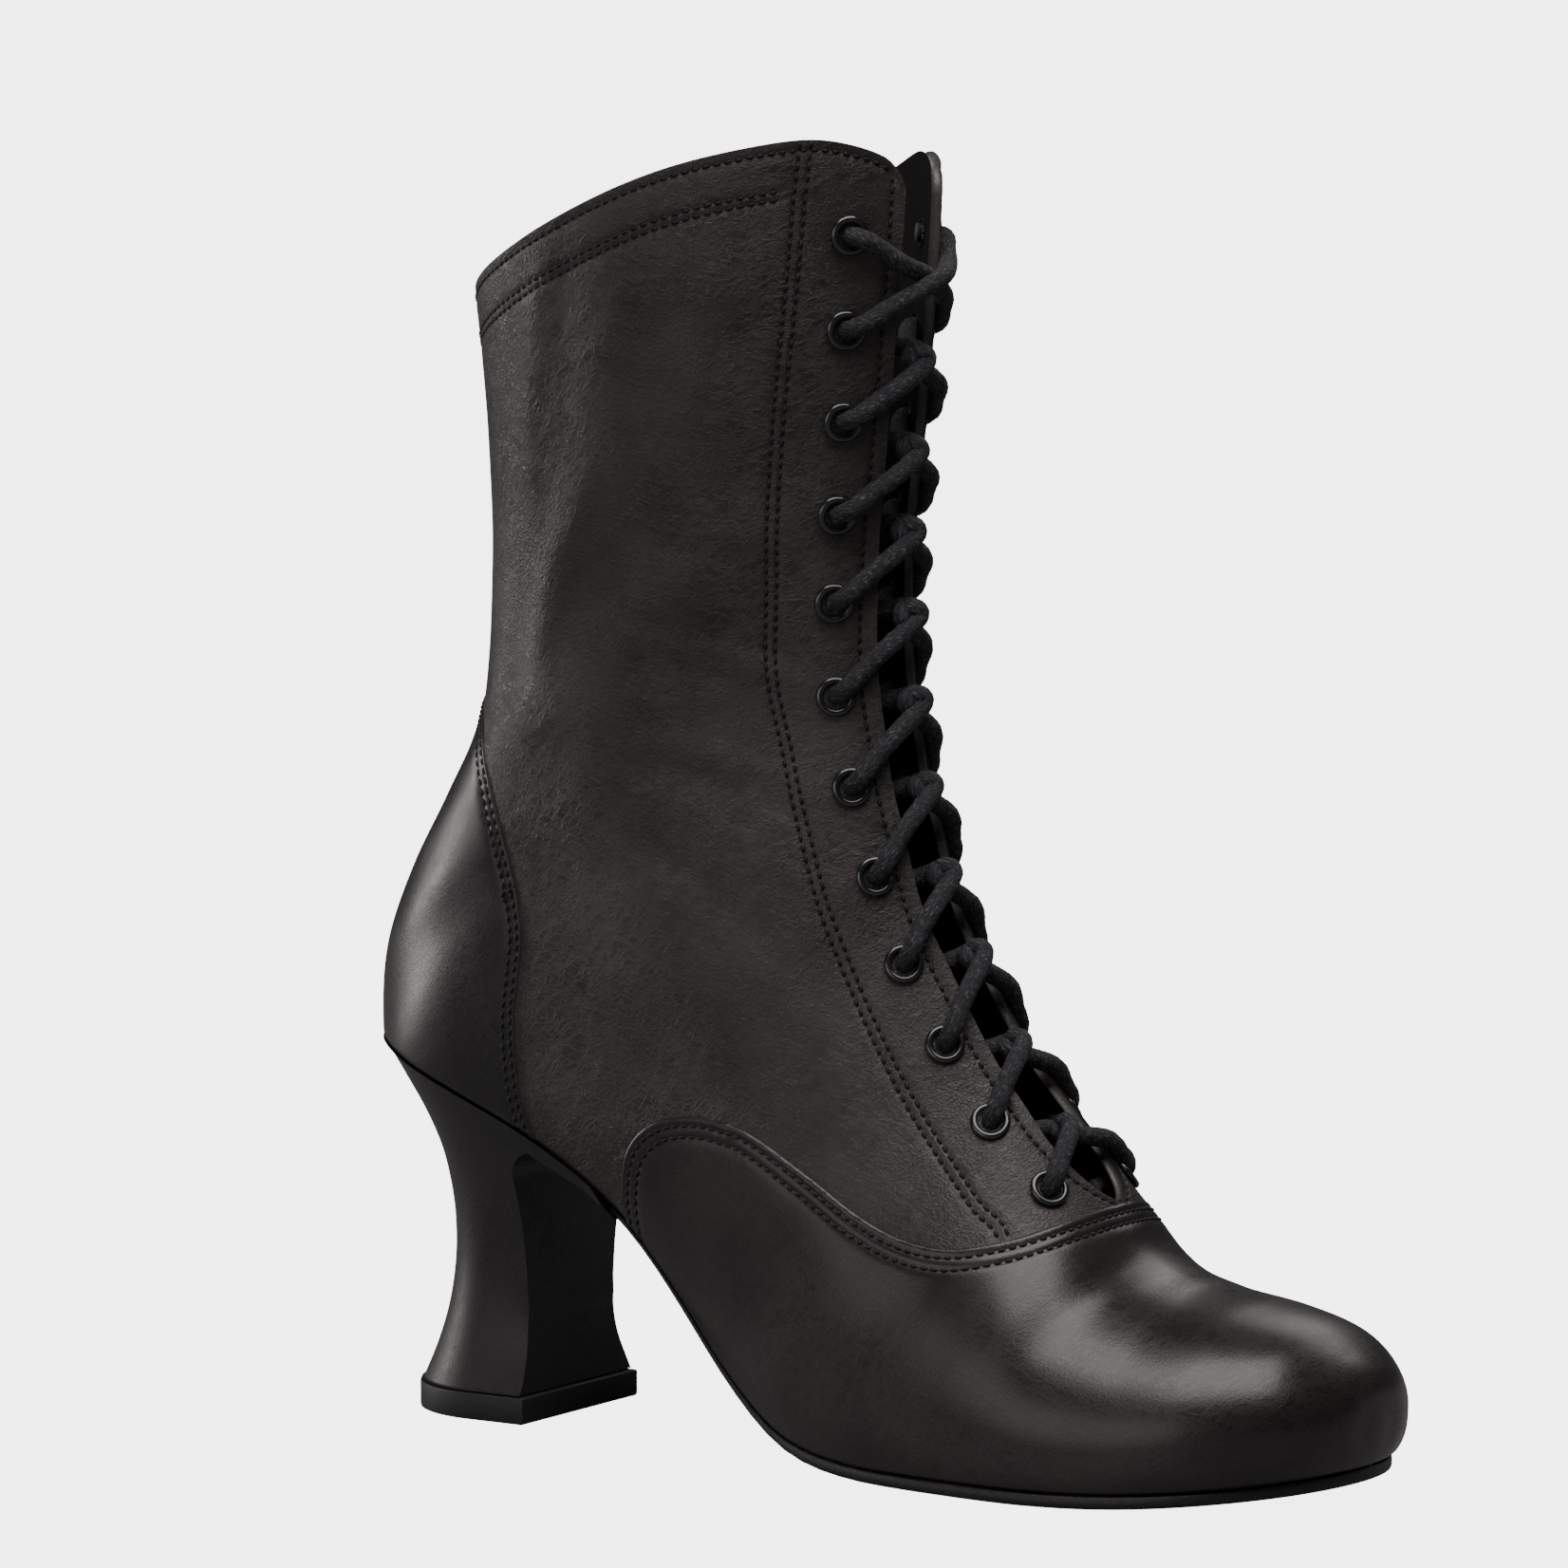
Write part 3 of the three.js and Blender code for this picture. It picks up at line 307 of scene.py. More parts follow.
def place(row, side, v):  # section and angle of a point of the pattern
    near = {}
    for s in (1, -1):
        share, top = edges[s]["top"]
        reach = (np.interp(v, share, top) - topBlend) / (lastRow - topBlend)
        t = np.where(row > topBlend, topBlend + (row - topBlend) * reach, row)
        a = mix(np.interp(t, rowGrid, edges[s]["low"]), np.interp(t, rowGrid, edges[s]["high"]), v)
        near[s] = (t, a if s > 0 else 1 - a)
    return np.where(side > 0, near[1][0], near[-1][0]), np.where(side > 0, near[1][1], near[-1][1])


# seams, steps and folds of the leather

upperLook = {
    "rowStep": 1.2, "columns": 132, "edgeRound": 0.7, "vampStep": 0.7, "facingStep": 0.5,
    "bandStep": 0.4, "counterStep": 0.4, "stitchPitch": 2.3, "grooveDepth": 0.3,
    "grooveWidth": 0.55, "underlap": 0.7, "tuck": 0.9, "tuckHeight": 1.5,
}
vampCurve, facingCurve, counterCurve = (sideCurve(r) for r in (vampLine, facingLine, counterLine))


def signedDistance(curve, x, z, flip):  # from a seam seen from the side, drawn on past its ends
    reach = 150
    first = curve[0] - unit(curve[1] - curve[0]) * reach
    final = curve[-1] + unit(curve[-1] - curve[-2]) * reach
    points = np.vstack([first, curve, final])
    best, sign = np.full(x.shape, 1e9), np.ones(x.shape)
    for start, end in zip(points[:-1], points[1:]):
        dx, dz = end - start
        px, pz = x - start[0], z - start[1]
        f = np.clip((px * dx + pz * dz) / (dx * dx + dz * dz), 0, 1)
        distance = (px - f * dx) ** 2 + (pz - f * dz) ** 2
        closer = distance < best
        best = np.where(closer, distance, best)
        sign = np.where(closer, np.sign(dx * pz - dz * px), sign)
    return flip * sign * np.sqrt(best)


sideSeams = {"vamp": (vampCurve, -1), "facing": (facingCurve, -1), "counter": (counterCurve, 1)}


def fieldOf(name, p):  # millimetres inside a panel, or in from an edge
    x, y, z = p[..., 0], p[..., 1], p[..., 2]
    if name in sideSeams:
        curve, flip = sideSeams[name]
        return signedDistance(curve, x, z, flip)
    if name == "band":
        return boot["bandWidth"] - (collarZ(x, y) - z)
    if name == "collar":
        return collarZ(x, y) - z
    front = (z > throatFoot - 4) & (x > footLength * 0.35)
    return np.where(front, np.abs(y - throatY) - throatHalf(z), 50)


seams = {  # where the leather is cut into finer strips, and which of those carry stitches
    "vamp": ([0, 0.25, 0.7, 1.5, 1.9, 2.3, 3.9, 4.3, 4.7], [1.9, 4.3]),
    "counter": ([0, 0.25, 0.7, 1.0, 1.3, 1.6, 2.9, 3.2, 3.5], [1.3, 3.2]),
    "facing": ([-1.25, -0.85, -0.45, 0, 0.25, 0.45, 0.85, 1.25], [-0.85, 0.85]),
    "band": ([-1.25, -0.85, -0.45, 0, 0.25, 0.45, 0.85, 1.25], [-0.85, 0.85]),
    "collar": ([1.9, 2.3], [2.1]),
    "throat": ([2.2, 2.6], [2.4]),
}

# Soft folds: centre x and z, angle, half length, half width, depth (+ is a ridge), side
folds = [
    (64, 185, 70, 24, 5, 1.0, 1), (60, 226, 80, 30, 4, 0.75, 1), (80, 188, 80, 34, 9, -0.9, 1),
    (71, 236, 84, 32, 5, -0.55, 1), (56, 154, 25, 12, 6, 0.7, 1), (100, 225, 80, 30, 9, 0.55, 1),
    (50, 168, 75, 14, 4, -0.5, 1), (101, 191, -8, 20, 2.6, -0.28, 1), (106, 168, -20, 16, 2.6, 0.3, 1),
    (104, 173, -18, 18, 2.4, -0.25, 1), (104, 148, -18, 20, 3, 0.36, 1), (106, 141, -20, 20, 2.6, -0.3, 1),
    (100, 134, -24, 20, 3, 0.3, 1), (92, 126, -28, 22, 3.4, -0.34, 1), (84, 116, -30, 24, 4, 0.36, 1),
    (70, 122, -26, 22, 4, -0.32, 1), (74, 104, -34, 24, 4.5, 0.3, 1), (110, 112, -40, 22, 4, -0.3, 1),
    (134, 160, -20, 8, 1.8, 0.24, 1), (135, 154, -24, 9, 1.7, -0.24, 1), (136, 147, -28, 9, 1.8, 0.26, 1),
    (138, 139, -30, 9, 1.8, -0.24, 1), (140, 131, -34, 9, 1.9, 0.26, 1), (146, 120, -40, 9, 2, -0.22, 1),
    (86, 160, 10, 18, 4, 0.3, 1), (116, 205, 82, 26, 5, -0.4, 1), (122, 96, -48, 18, 4, 0.3, 1),
    (190, 40, 62, 16, 6, -0.4, 1), (176, 34, 58, 20, 6, 0.3, 1), (150, 36, 40, 24, 7, -0.35, 1),
    (58, 215, 80, 44, 8, -0.7, -1), (84, 190, 76, 40, 8, 0.6, -1), (70, 150, 12, 36, 6, -0.6, -1),
    (86, 134, 4, 36, 6, 0.5, -1), (76, 118, -10, 34, 6, -0.5, -1), (100, 108, -18, 26, 5, 0.4, -1),
    (104, 176, 80, 34, 8, -0.4, -1), (180, 38, 60, 20, 5, -0.3, -1), (160, 34, 50, 20, 5, 0.3, -1),
]


def slack(p):  # slow waves all over, and the folds
    x, y, z = p[..., 0], p[..., 1], p[..., 2]
    total = 0.1 * np.sin(x / 13 + 1.3 * np.sin(z / 21)) * np.sin(z / 15 + y / 27)
    total = total + 0.06 * np.sin(x / 6.1 + z / 9 + 2 * np.sin(y / 17)) * np.sin(z / 7.3 - x / 19)
    for cx, cz, angle, length, width, depth, side in folds:
        c, s = math.cos(math.radians(angle)), math.sin(math.radians(angle))
        down, across = (x - cx) * c + (z - cz) * s, (z - cz) * c - (x - cx) * s
        across = across - 0.1 * down * down / length * (1 if cx % 2 else -1)  # each fold bends a little
        bump = np.exp(-(down / length) ** 2 - (across / width) ** 2)
        total = total + depth * bump * ease(-4, 12, -side * (y - throatY))
    calm = ease(-2, 14, -fieldOf("counter", p)) * ease(2, 9, z - soleTop(x))
    return total * mix(0.12, 1, calm)  # the counter and the lasted edge hold still


def rounded(distance):
    f = np.clip(distance / upperLook["edgeRound"], 0, 1)
    return np.sqrt(1 - (1 - f) ** 2)


def skived(distance):  # a thin edge that thickens inward
    return 0.3 * rounded(distance) + 0.7 * ease(1, 9, distance)


def heights(p):  # how far each layer stands above the last
    f = {name: fieldOf(name, p) for name in seams}
    low = np.clip((p[..., 2] - soleTop(p[..., 0])) / upperLook["tuckHeight"], 0, 1)
    base = slack(p) - upperLook["tuck"] * (1 - np.sqrt(1 - (1 - low) ** 2))
    for name, (_, rowsAt) in seams.items():
        for level in rowsAt:
            on = np.exp(-((f[name] - level) / upperLook["grooveWidth"]) ** 2)
            if name == "band":
                on = on * (f["facing"] < -2)
            if name in ("band", "facing", "collar", "throat"):
                on = on * (f["vamp"] < 0.2)
            base = base - upperLook["grooveDepth"] * on
    band = upperLook["bandStep"] * skived(f["band"])
    counter = upperLook["counterStep"] * rounded(f["counter"])
    facing = mix(np.where(f["band"] > 0, band, 0), upperLook["facingStep"], skived(f["facing"]))
    under = np.where(f["facing"] > 0, facing, np.where(f["counter"] > 0, counter, 0))
    vamp = mix(under, upperLook["vampStep"], rounded(f["vamp"]))
    steps = {"quarter": 0, "counter": counter, "band": band, "facing": facing, "vamp": vamp}
    return {name: step + base for name, step in steps.items()}, f


def toRow(p):  # from millimetres of the last to metres of the frame
    return (p - np.array([boot["originX"], boot["originY"], 0])) * mm


def strips(count, width, first=0, around=False, loop=False):  # faces between rings of points
    faces = []
    for i in range(count if loop else count - 1):
        a, b = first + i * width, first + (i + 1) % count * width
        for k in range(width if around else width - 1):
            e = (k + 1) % width
            faces.append((a + k, a + e, b + e, b + k))
    return faces


def ends(count, width, first=0):  # the two caps of a tube
    final = first + (count - 1) * width
    return [tuple(range(first + width - 1, first - 1, -1)), tuple(range(final, final + width))]


def makeMesh(name, vertices, faces, weld=0.0):
    mesh = bpy.data.meshes.new(name)
    mesh.from_pydata([tuple(v) for v in vertices], [], [tuple(f) for f in faces])
    if weld:
        bm = bmesh.new()
        bm.from_mesh(mesh)
        bmesh.ops.remove_doubles(bm, verts=bm.verts, dist=weld)
        bmesh.ops.dissolve_degenerate(bm, edges=bm.edges, dist=weld / 4)
        bm.to_mesh(mesh)
        bm.free()
    mesh.shade_smooth()
    piece = bpy.data.objects.new(name, mesh)
    bpy.context.scene.collection.objects.link(piece)
    return piece


def faceOut(piece, fill=False):
    bm = bmesh.new()
    bm.from_mesh(piece.data)
    if fill:
        bmesh.ops.holes_fill(bm, edges=[e for e in bm.edges if e.is_boundary])
    bmesh.ops.recalc_face_normals(bm, faces=bm.faces)
    bm.to_mesh(piece.data)
    bm.free()


def dress(piece, slotName, material, *nodes):
    piece.data.materials.append(material)
    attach(piece, "root")
    if nodes:
        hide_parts(*nodes)
    return piece


# pattern of the upper, cut along its seams

def patternRows(step):
    t = np.linspace(-1, lastRow, 2600)
    walked = sum(
        walk(lastPoint(*place(t, side, v))) for side in (1, -1) for v in (0.02, 0.5, 0.98)) / 6
    count = int(walked[-1] / step)
    return np.interp(np.linspace(0, walked[-1], count + 1), walked, t)


def chain(pairs):  # joins cut edges into lines
    links = {}
    for a, b in pairs:
        links.setdefault(a, []).append(b)
        links.setdefault(b, []).append(a)
    lines, used = [], set()
    starts = [p for p, near in links.items() if len(near) == 1] + list(links)
    for start in starts:
        if start in used:
            continue
        line, spot = [start], start
        used.add(start)
        while True:
            ahead = [q for q in links[spot] if q not in used]
            if not ahead:
                break
            spot = ahead[0]
            used.add(spot)
            line.append(spot)
        if len(line) > 4:
            lines.append(np.array(line))
    return lines


def cutPattern():  # a flat sheet for each side, cut where each seam and stitch row crosses it
    rows = patternRows(upperLook["rowStep"])
    lasted = [0, 0.0016, 0.0036, 0.0062]
    columns = np.concatenate([lasted, np.linspace(0.0105, 1, upperLook["columns"] - 4)])
    bm = bmesh.new()
    for side in (1, -1):
        spots = [[bm.verts.new((row, side * (1 + v), 0)) for v in columns] for row in rows]
        for low, high in zip(spots[:-1], spots[1:]):
            for i in range(len(columns) - 1):
                loop = (low[i], low[i + 1], high[i + 1], high[i])
                bm.faces.new(loop if side > 0 else loop[::-1])
    paths = []
    for name, (levels, stitched) in seams.items():
        spots = np.array([v.co[:2] for v in bm.verts])
        side = np.sign(spots[:, 1])
        t, a = place(spots[:, 0], side, np.abs(spots[:, 1]) - 1)
        field = fieldOf(name, lastPoint(t, a))
        for vertex, value in zip(bm.verts, field):
            vertex.co.z = value
        for level in sorted(set(levels) | set(stitched)):
            everything = bm.verts[:] + bm.edges[:] + bm.faces[:]
            cut = bmesh.ops.bisect_plane(
                bm, geom=everything, dist=0.02, plane_co=(0, 0, level), plane_no=(0, 0, 1))
            if level in stitched:
                pairs = [
                    [(round(v.co.x, 6), round(v.co.y, 6)) for v in edge.verts]
                    for edge in cut["geom_cut"] if isinstance(edge, bmesh.types.BMEdge)
                ]
                paths += [(name, level, line) for line in chain(pairs)]
    bm.verts.index_update()
    spots = np.array([v.co[:2] for v in bm.verts])
    faces = [[v.index for v in face.verts] for face in bm.faces]
    bm.free()
    return spots, faces, paths


def onPattern(spots):
    side = np.sign(spots[:, 1])
    v = np.abs(spots[:, 1]) - 1
    t, a = place(spots[:, 0], side, v)
    return lastPoint(t, a), outward(t, a), v


def keep(spots, faces, chosen):
    used = np.unique(np.concatenate([faces[i] for i in chosen]))
    renumber = {old: new for new, old in enumerate(used)}
    return spots[used], [[renumber[k] for k in faces[i]] for i in chosen]


print("pattern")
spots, faces, paths = cutPattern()
basePoints, baseNormals, share = onPattern(spots)
layers, fields = heights(basePoints)
middle = {name: np.array([values[face].mean() for face in faces]) for name, values in fields.items()}
under = {name: middle[name] < upperLook["underlap"] for name in ("vamp", "counter", "facing", "band")}
panels = {
    "quarters": ("quarter", under["vamp"] & under["counter"] & under["facing"] & under["band"]),
    "counter": ("counter", (middle["counter"] > 0) & under["vamp"]),
    "top_band": ("band", (middle["band"] > 0) & under["facing"]),
    "facings": ("facing", (middle["facing"] > 0) & under["vamp"]),
    "vamp": ("vamp", middle["vamp"] > 0),
}
lasted = (share < 1e-6) & (basePoints[:, 2] < soleTop(basePoints[:, 0]) + 0.5)
panelPieces = {}
for name, (layer, chosen) in panels.items():
    points = basePoints + baseNormals * layers[layer][:, None]
    onSole = soleTop(points[:, 0]) - gap + 0.05  # the lasted edge runs down onto the sole
    points[:, 2] = np.where(lasted, onSole, points[:, 2])
    vertices, loops = keep(points, faces, np.flatnonzero(chosen))
    panelPieces[name] = makeMesh(name, toRow(vertices), loops, weld=2e-6)
    print(name, len(loops))


def ribbon(name, rings, closed, weld=0.0):
    rings = np.asarray(rings)
    loops = strips(*rings.shape[:2], loop=closed)
    return makeMesh(name, toRow(rings.reshape(-1, 3)), loops, weld)


# edge of collar and throat, lining, stitches

rim = {"bulge": 0.75, "steps": 8, "liningStep": 2.6}
thread = {  # each ring of a stitch: place along its length, share of its radius, arches up
    "length": 1.75, "radius": 0.4, "arch": 0.16, "sides": 6,
    "rings": [(-0.5, 0.3, -1.6), (-0.42, 0.85, -0.4), (-0.16, 1, 0.7), (0.16, 1, 0.7),
              (0.42, 0.85, -0.4), (0.5, 0.3, -1.6)],
}


def laid(spots):  # on the uppermost layer
    points, normals, _ = onPattern(spots)
    found, f = heights(points)
    height = found["quarter"]
    for name in ("counter", "band", "facing", "vamp"):
        height = np.where(f[name] > 0, found[name], height)
    return points + normals * height[:, None], normals


def lined(spots):  # on the lining
    inside, normals, _ = onPattern(spots)
    return inside + normals * (slack(inside) * 0.7 - boot["wall"])[:, None]


def resample(points, pitch):
    walked = walk(points)
    at = np.linspace(0, walked[-1], max(int(walked[-1] / pitch), 1) + 1)
    return np.column_stack([np.interp(at, walked, column) for column in points.T])


def evenly(line, step):  # spots of the pattern at even steps over the leather
    walked = walk(onPattern(line)[0])
    at = np.linspace(0, walked[-1], max(int(walked[-1] / step), 1) + 1)
    return np.column_stack([np.interp(at, walked, column) for column in line.T])


print("edge, lining and stitches")
aboveThroat = (edges[1]["high"] < 0.4995) & (lastPoint(rowGrid, 0.5)[:, 2] > throatFoot)
throatRow = rowGrid[aboveThroat].min()
up = np.unique(np.concatenate([np.linspace(throatRow, throatRow + 0.15, 40), patternRows(1.0)]))
up = up[up >= throatRow]
over = np.linspace(1, 0, 130)
rimSpots = np.array(
    [(row, 2) for row in up] + [(lastRow, 1 + v) for v in over[1:]]
    + [(lastRow, -1 - v) for v in over[::-1][1:]] + [(row, -2) for row in up[::-1][1:]])
rimPoints, rimNormals = laid(rimSpots)
rimInner = lined(rimSpots)
along = unit(np.roll(rimPoints, -1, 0) - np.roll(rimPoints, 1, 0))
along = unit(along + 0.6 * np.roll(along, 1, 0) + 0.6 * np.roll(along, -1, 0))
outer = unit(np.cross(rimNormals, along))
centre, half = (rimPoints + rimInner) / 2, (rimPoints - rimInner) / 2
rolledEdge = ribbon("rolled_edge", np.stack([
    centre + half * math.cos(angle) + outer * rim["bulge"] * math.sin(angle)
    for angle in np.linspace(0, math.pi, rim["steps"] + 1)
], 1), True)

liningRows, liningColumns = patternRows(rim["liningStep"]), np.linspace(0, 1, 56)
lining, liningFar = (
    ribbon(name, [lined(np.array([(row, side * (1 + v)) for v in liningColumns])) for row in liningRows],
           False)
    for name, side in (("lining", 1), ("lining_far", -1)))


def sew(name, lines):
    vertices, loops = [], []
    sides, pitch = thread["sides"], upperLook["stitchPitch"]
    for line in lines:
        both = resample(np.hstack(laid(evenly(line, pitch / 6))), pitch)
        points, normals = both[:, :3], unit(both[:, 3:])
        centres, ways = (points[1:] + points[:-1]) / 2, unit(points[1:] - points[:-1])
        for c, d, n in zip(centres, ways, unit(normals[1:] + normals[:-1])):
            b = np.cross(n, d)
            first = len(vertices)
            for run, wide, rise in thread["rings"]:
                middle = c + d * run * thread["length"] + n * rise * thread["arch"]
                for k in range(sides):
                    angle = turn * k / sides
                    reach = thread["radius"] * wide
                    vertices.append(middle + (b * math.cos(angle) + n * math.sin(angle)) * reach)
            loops += strips(len(thread["rings"]), sides, first, around=True)
            loops += ends(len(thread["rings"]), sides, first)
    return makeMesh(name, toRow(np.array(vertices)), loops)


def uncovered(name, line):  # where a row of stitches is not under another panel
    points, _, _ = onPattern(line)
    seen = np.ones(len(line), bool)
    if name != "vamp":
        seen &= fieldOf("vamp", points) < -0.4
    if name == "band":
        seen &= fieldOf("facing", points) < -2.4
    if name == "collar":
        seen &= fieldOf("throat", points) > 2.4
    if name == "throat":
        seen &= fieldOf("collar", points) > 2.1
    return seen


sewn = {1: [], -1: []}
for name, _, line in paths:
    seen = uncovered(name, line)
    breaks = np.flatnonzero(np.diff(seen.astype(int))) + 1
    for start, part in zip([0, *breaks], np.split(line, breaks)):
        if seen[start] and len(part) > 5:
            sewn[int(np.sign(part[0][1]))].append(part)
nearThread, farThread = sew("stitches_outer", sewn[1]), sew("stitches_inner", sewn[-1])
print("stitches", len(nearThread.data.polygons) // 32, len(farThread.data.polygons) // 32)


# soles and heel

heelForm = {
    "topHeight": 6, "topLength": 36.5, "topWidth": 45, "flare": 0.8, "neckLength": 27.8,
    "neckWidth": 33, "breastAt": 45.5, "lipReach": 28, "lipDepth": 5, "bend": 9,
    "levels": 56, "sideSteps": 44, "edgeRound": 0.5, "breastRise": 0.35, "bendTurn": 0.42,
    "bendDrop": 0.55, "bendHeight": 0.8,
}
soleForm = {"overlap": 4, "fade": (-2, 30), "edge": 0.7, "insoleEdge": 0.5}
breastAt, flare, bend = heelForm["breastAt"], heelForm["flare"], heelForm["bend"]
lipEnd = breastAt + heelForm["lipReach"]
outsoleEnd = lipEnd - soleForm["overlap"]


def featherLine(side, rise, count=90):
    backRow = rowGrid[(edges[side]["low"] <= 1e-6) & (rowGrid > 14)].min()
    frontRow = rowGrid[(edges[side]["low"] <= 1e-6) & (rowGrid < 4)].max()
    share = (1 - np.cos(math.pi * np.linspace(0, 1, count))) / 2
    t = mix(frontRow, backRow, share)
    a = np.interp(t, rowGrid, edges[side]["low"])
    return skin(t, a if side > 0 else 1 - a, np.full(count, rise))[:, :2]


def soleDepth(x):
    return mix(boot["waistThickness"], soleThickness - gap, ease(lipEnd, footLength * 0.55, x))


def slab(name, near, far, top, bottom, edge, across=14):  # a sheet with rounded long edges
    rings = []
    for n, f in zip(near, far):
        reach = min(edge / max(np.linalg.norm(f - n), 1e-6), 0.5)
        points = []
        for lower in (True, False):
            shares = np.linspace(reach, 1 - reach, across)
            for share in shares if lower else shares[::-1]:
                x, y = mix(n, f, share)
                points.append((x, y, bottom(x) if lower else top(x)))
            end, corner = (1, f) if lower else (-1, n)
            low, high = bottom(corner[0]), top(corner[0])
            for angle in np.radians(np.linspace(-80, 80, 7)):
                x, y = corner - (f - n) * reach * end * (1 - math.cos(angle))
                points.append((x, y, mix(low, high, (1 + math.sin(angle) * end) / 2)))
        rings.append(points + points[:1])
    piece = ribbon(name, rings, False, weld=1e-6)
    faceOut(piece, fill=True)
    return piece


print("soles and heel")
inset = -boot["wall"] - gap
wide, flush, inner = (
    [featherLine(side, rise) for side in (1, -1)] for rise in (boot["soleMargin"], 0.0, inset))
fadeFrom, fadeTo = (outsoleEnd + reach for reach in soleForm["fade"])
near, far = (mix(a, b, ease(fadeFrom, fadeTo, b[:, :1])) for a, b in zip(flush, wide))
ahead = (near[:, 0] > outsoleEnd) & (far[:, 0] > outsoleEnd)
outsole = slab(
    "outsole", near[ahead], far[ahead], lambda x: soleTop(x) - gap,
    lambda x: soleTop(x) - gap - soleDepth(x), soleForm["edge"])
insole = slab(
    "insole", *inner, lambda x: soleTop(x) + gap + boot["insoleThickness"],
    lambda x: soleTop(x) + gap, soleForm["insoleEdge"])


def dOutline(q, back, front, width):  # half of a D, round at the back
    f = np.minimum(q / 0.62, 1)
    return mix(back, front, q), width / 2 * np.sqrt(1 - (1 - f) ** 2)


def heelTop(x):  # under the seat, and under the end of the outsole on the lip
    onLip = x > outsoleEnd - gap
    return soleTop(x) - gap - np.where(onLip, gap + soleDepth(x), 0)


def alongSide(count):  # shares of the way from the back to the front, closer together at the back
    return (1 - np.cos(np.linspace(0, 1, count) * math.pi / 2)) ** 1.15


def heelRing(up, outline):
    q = alongSide(heelForm["sideSteps"])
    level = {name: readAt(heelLevels, "up", up, name) for name in ("foot", "neck", "seat")}
    footBack = breastAt + flare - heelForm["topLength"]
    neckBack = breastAt - heelForm["neckLength"]
    foot = dOutline(q, footBack, breastAt + flare, heelForm["topWidth"] - 2 * flare)
    neck = dOutline(q, neckBack, breastAt - flare, heelForm["neckWidth"])
    seatX = mix(outline[0][:, 0].min(), lipEnd, q)
    low, high = heelForm["topHeight"] + gap, heelTop(seatX)
    ring = {}
    for side, line in zip((1, -1), outline):
        order = np.argsort(line[:, 0])
        seatY = np.abs(np.interp(seatX, line[order, 0], line[order, 1]) - throatY)
        seatY = np.where(q <= 0, 0, seatY)
        x = level["foot"] * foot[0] + level["neck"] * neck[0] + level["seat"] * seatX
        y = level["foot"] * foot[1] + level["neck"] * neck[1] + level["seat"] * seatY
        ring[side] = np.column_stack([x, throatY - side * y, mix(low, high, up)])
    ring = np.vstack([ring[1][::-1], ring[-1][1:]])
    edge = heelForm["edgeRound"]
    toEdge = np.minimum(up, 1 - up) * (np.concatenate([high[::-1], high[1:]]) - low)
    inset = edge * (1 - np.sqrt(1 - np.clip(1 - toEdge / edge, 0, 1) ** 2))
    along = unit(np.gradient(ring[:, :2], axis=0))
    ring[:, :2] += np.column_stack([-along[:, 1], along[:, 0]]) * inset[:, None]
    return ring


def solid(name, rings, ladder=False):  # a ladder closes an end that is not flat
    rings = np.asarray(rings)
    count, width = rings.shape[:2]
    loops = []
    for base in (0, (count - 1) * width):
        if ladder:
            loops += [(base + k, base + k + 1, base + width - 2 - k, base + width - 1 - k)
                      for k in range(width // 2 - 1)]
            loops.append(tuple(base + width // 2 + k for k in (-1, 0, 1)))
        else:
            loops.append(tuple(base + k for k in range(width)))
    piece = makeMesh(name, toRow(rings.reshape(-1, 3)), loops + strips(count, width, around=True))
    faceOut(piece)
    return piece


def carve(piece, outline):  # takes away what lies inside an outline seen from the side
    cutter = solid("cutter", [[(x, y, z) for x, z in outline] for y in (-60, 60)])
    tool = piece.modifiers.new("carve", "BOOLEAN")
    tool.object, tool.operation, tool.solver = cutter, "DIFFERENCE", "EXACT"
    seen = piece.evaluated_get(bpy.context.evaluated_depsgraph_get())
    mesh = bpy.data.meshes.new_from_object(seen)
    piece.modifiers.remove(tool)
    piece.data = mesh
    bpy.data.objects.remove(cutter)


fine = np.array([0, 0.08, 0.3, 0.6, 1]) * heelForm["edgeRound"] / heelHeight
levels = np.concatenate([fine, np.linspace(0.01, 0.99, heelForm["levels"]), 1 - fine[::-1]])
seatOutline = [featherLine(side, 0.0, 240) for side in (1, -1)]
heel = solid("heel", [heelRing(up, seatOutline) for up in levels], True)
crown = soleTop(breastAt + bend) - heelForm["lipDepth"]
breast = [(breastAt + flare, -gap), (breastAt - flare, heelHeight * heelForm["breastRise"])]
for angle in math.pi - np.linspace(0, 1, 12) * math.pi * heelForm["bendTurn"]:
    breast.append((breastAt - flare + bend + bend * math.cos(angle),
                   crown + bend * (heelForm["bendHeight"] * math.sin(angle) - heelForm["bendDrop"])))
for share in np.linspace(0.08, 1, 12):
    x = mix(breastAt + bend, lipEnd, share)
    breast.append((x, soleTop(x) - mix(heelForm["lipDepth"], boot["waistThickness"] + 2 * gap, share)))
carve(heel, breast + [(200, soleTop(lipEnd)), (200, -gap)])
heel.data.shade_smooth()
heel.data.set_sharp_from_angle(angle=math.radians(32))

x, y = dOutline(
    alongSide(40), breastAt - heelForm["topLength"], breastAt + 2 * flare, heelForm["topWidth"])
outline = np.vstack([np.column_stack([x, throatY - y])[::-1], np.column_stack([x, throatY + y])[1:]])
centre = outline.mean(0)
topPiece = solid("top_piece", [
    [(*mix(centre, p, 1 - inset / 20), z) for p in outline]
    for inset, z in ((0.6, 0), (0.15, 0.15), (0, 0.6), (0, 5.5), (0.12, 5.85), (0.5, 6))
])
topPiece.data.set_sharp_from_angle(angle=math.radians(50))


# eyelets and lace

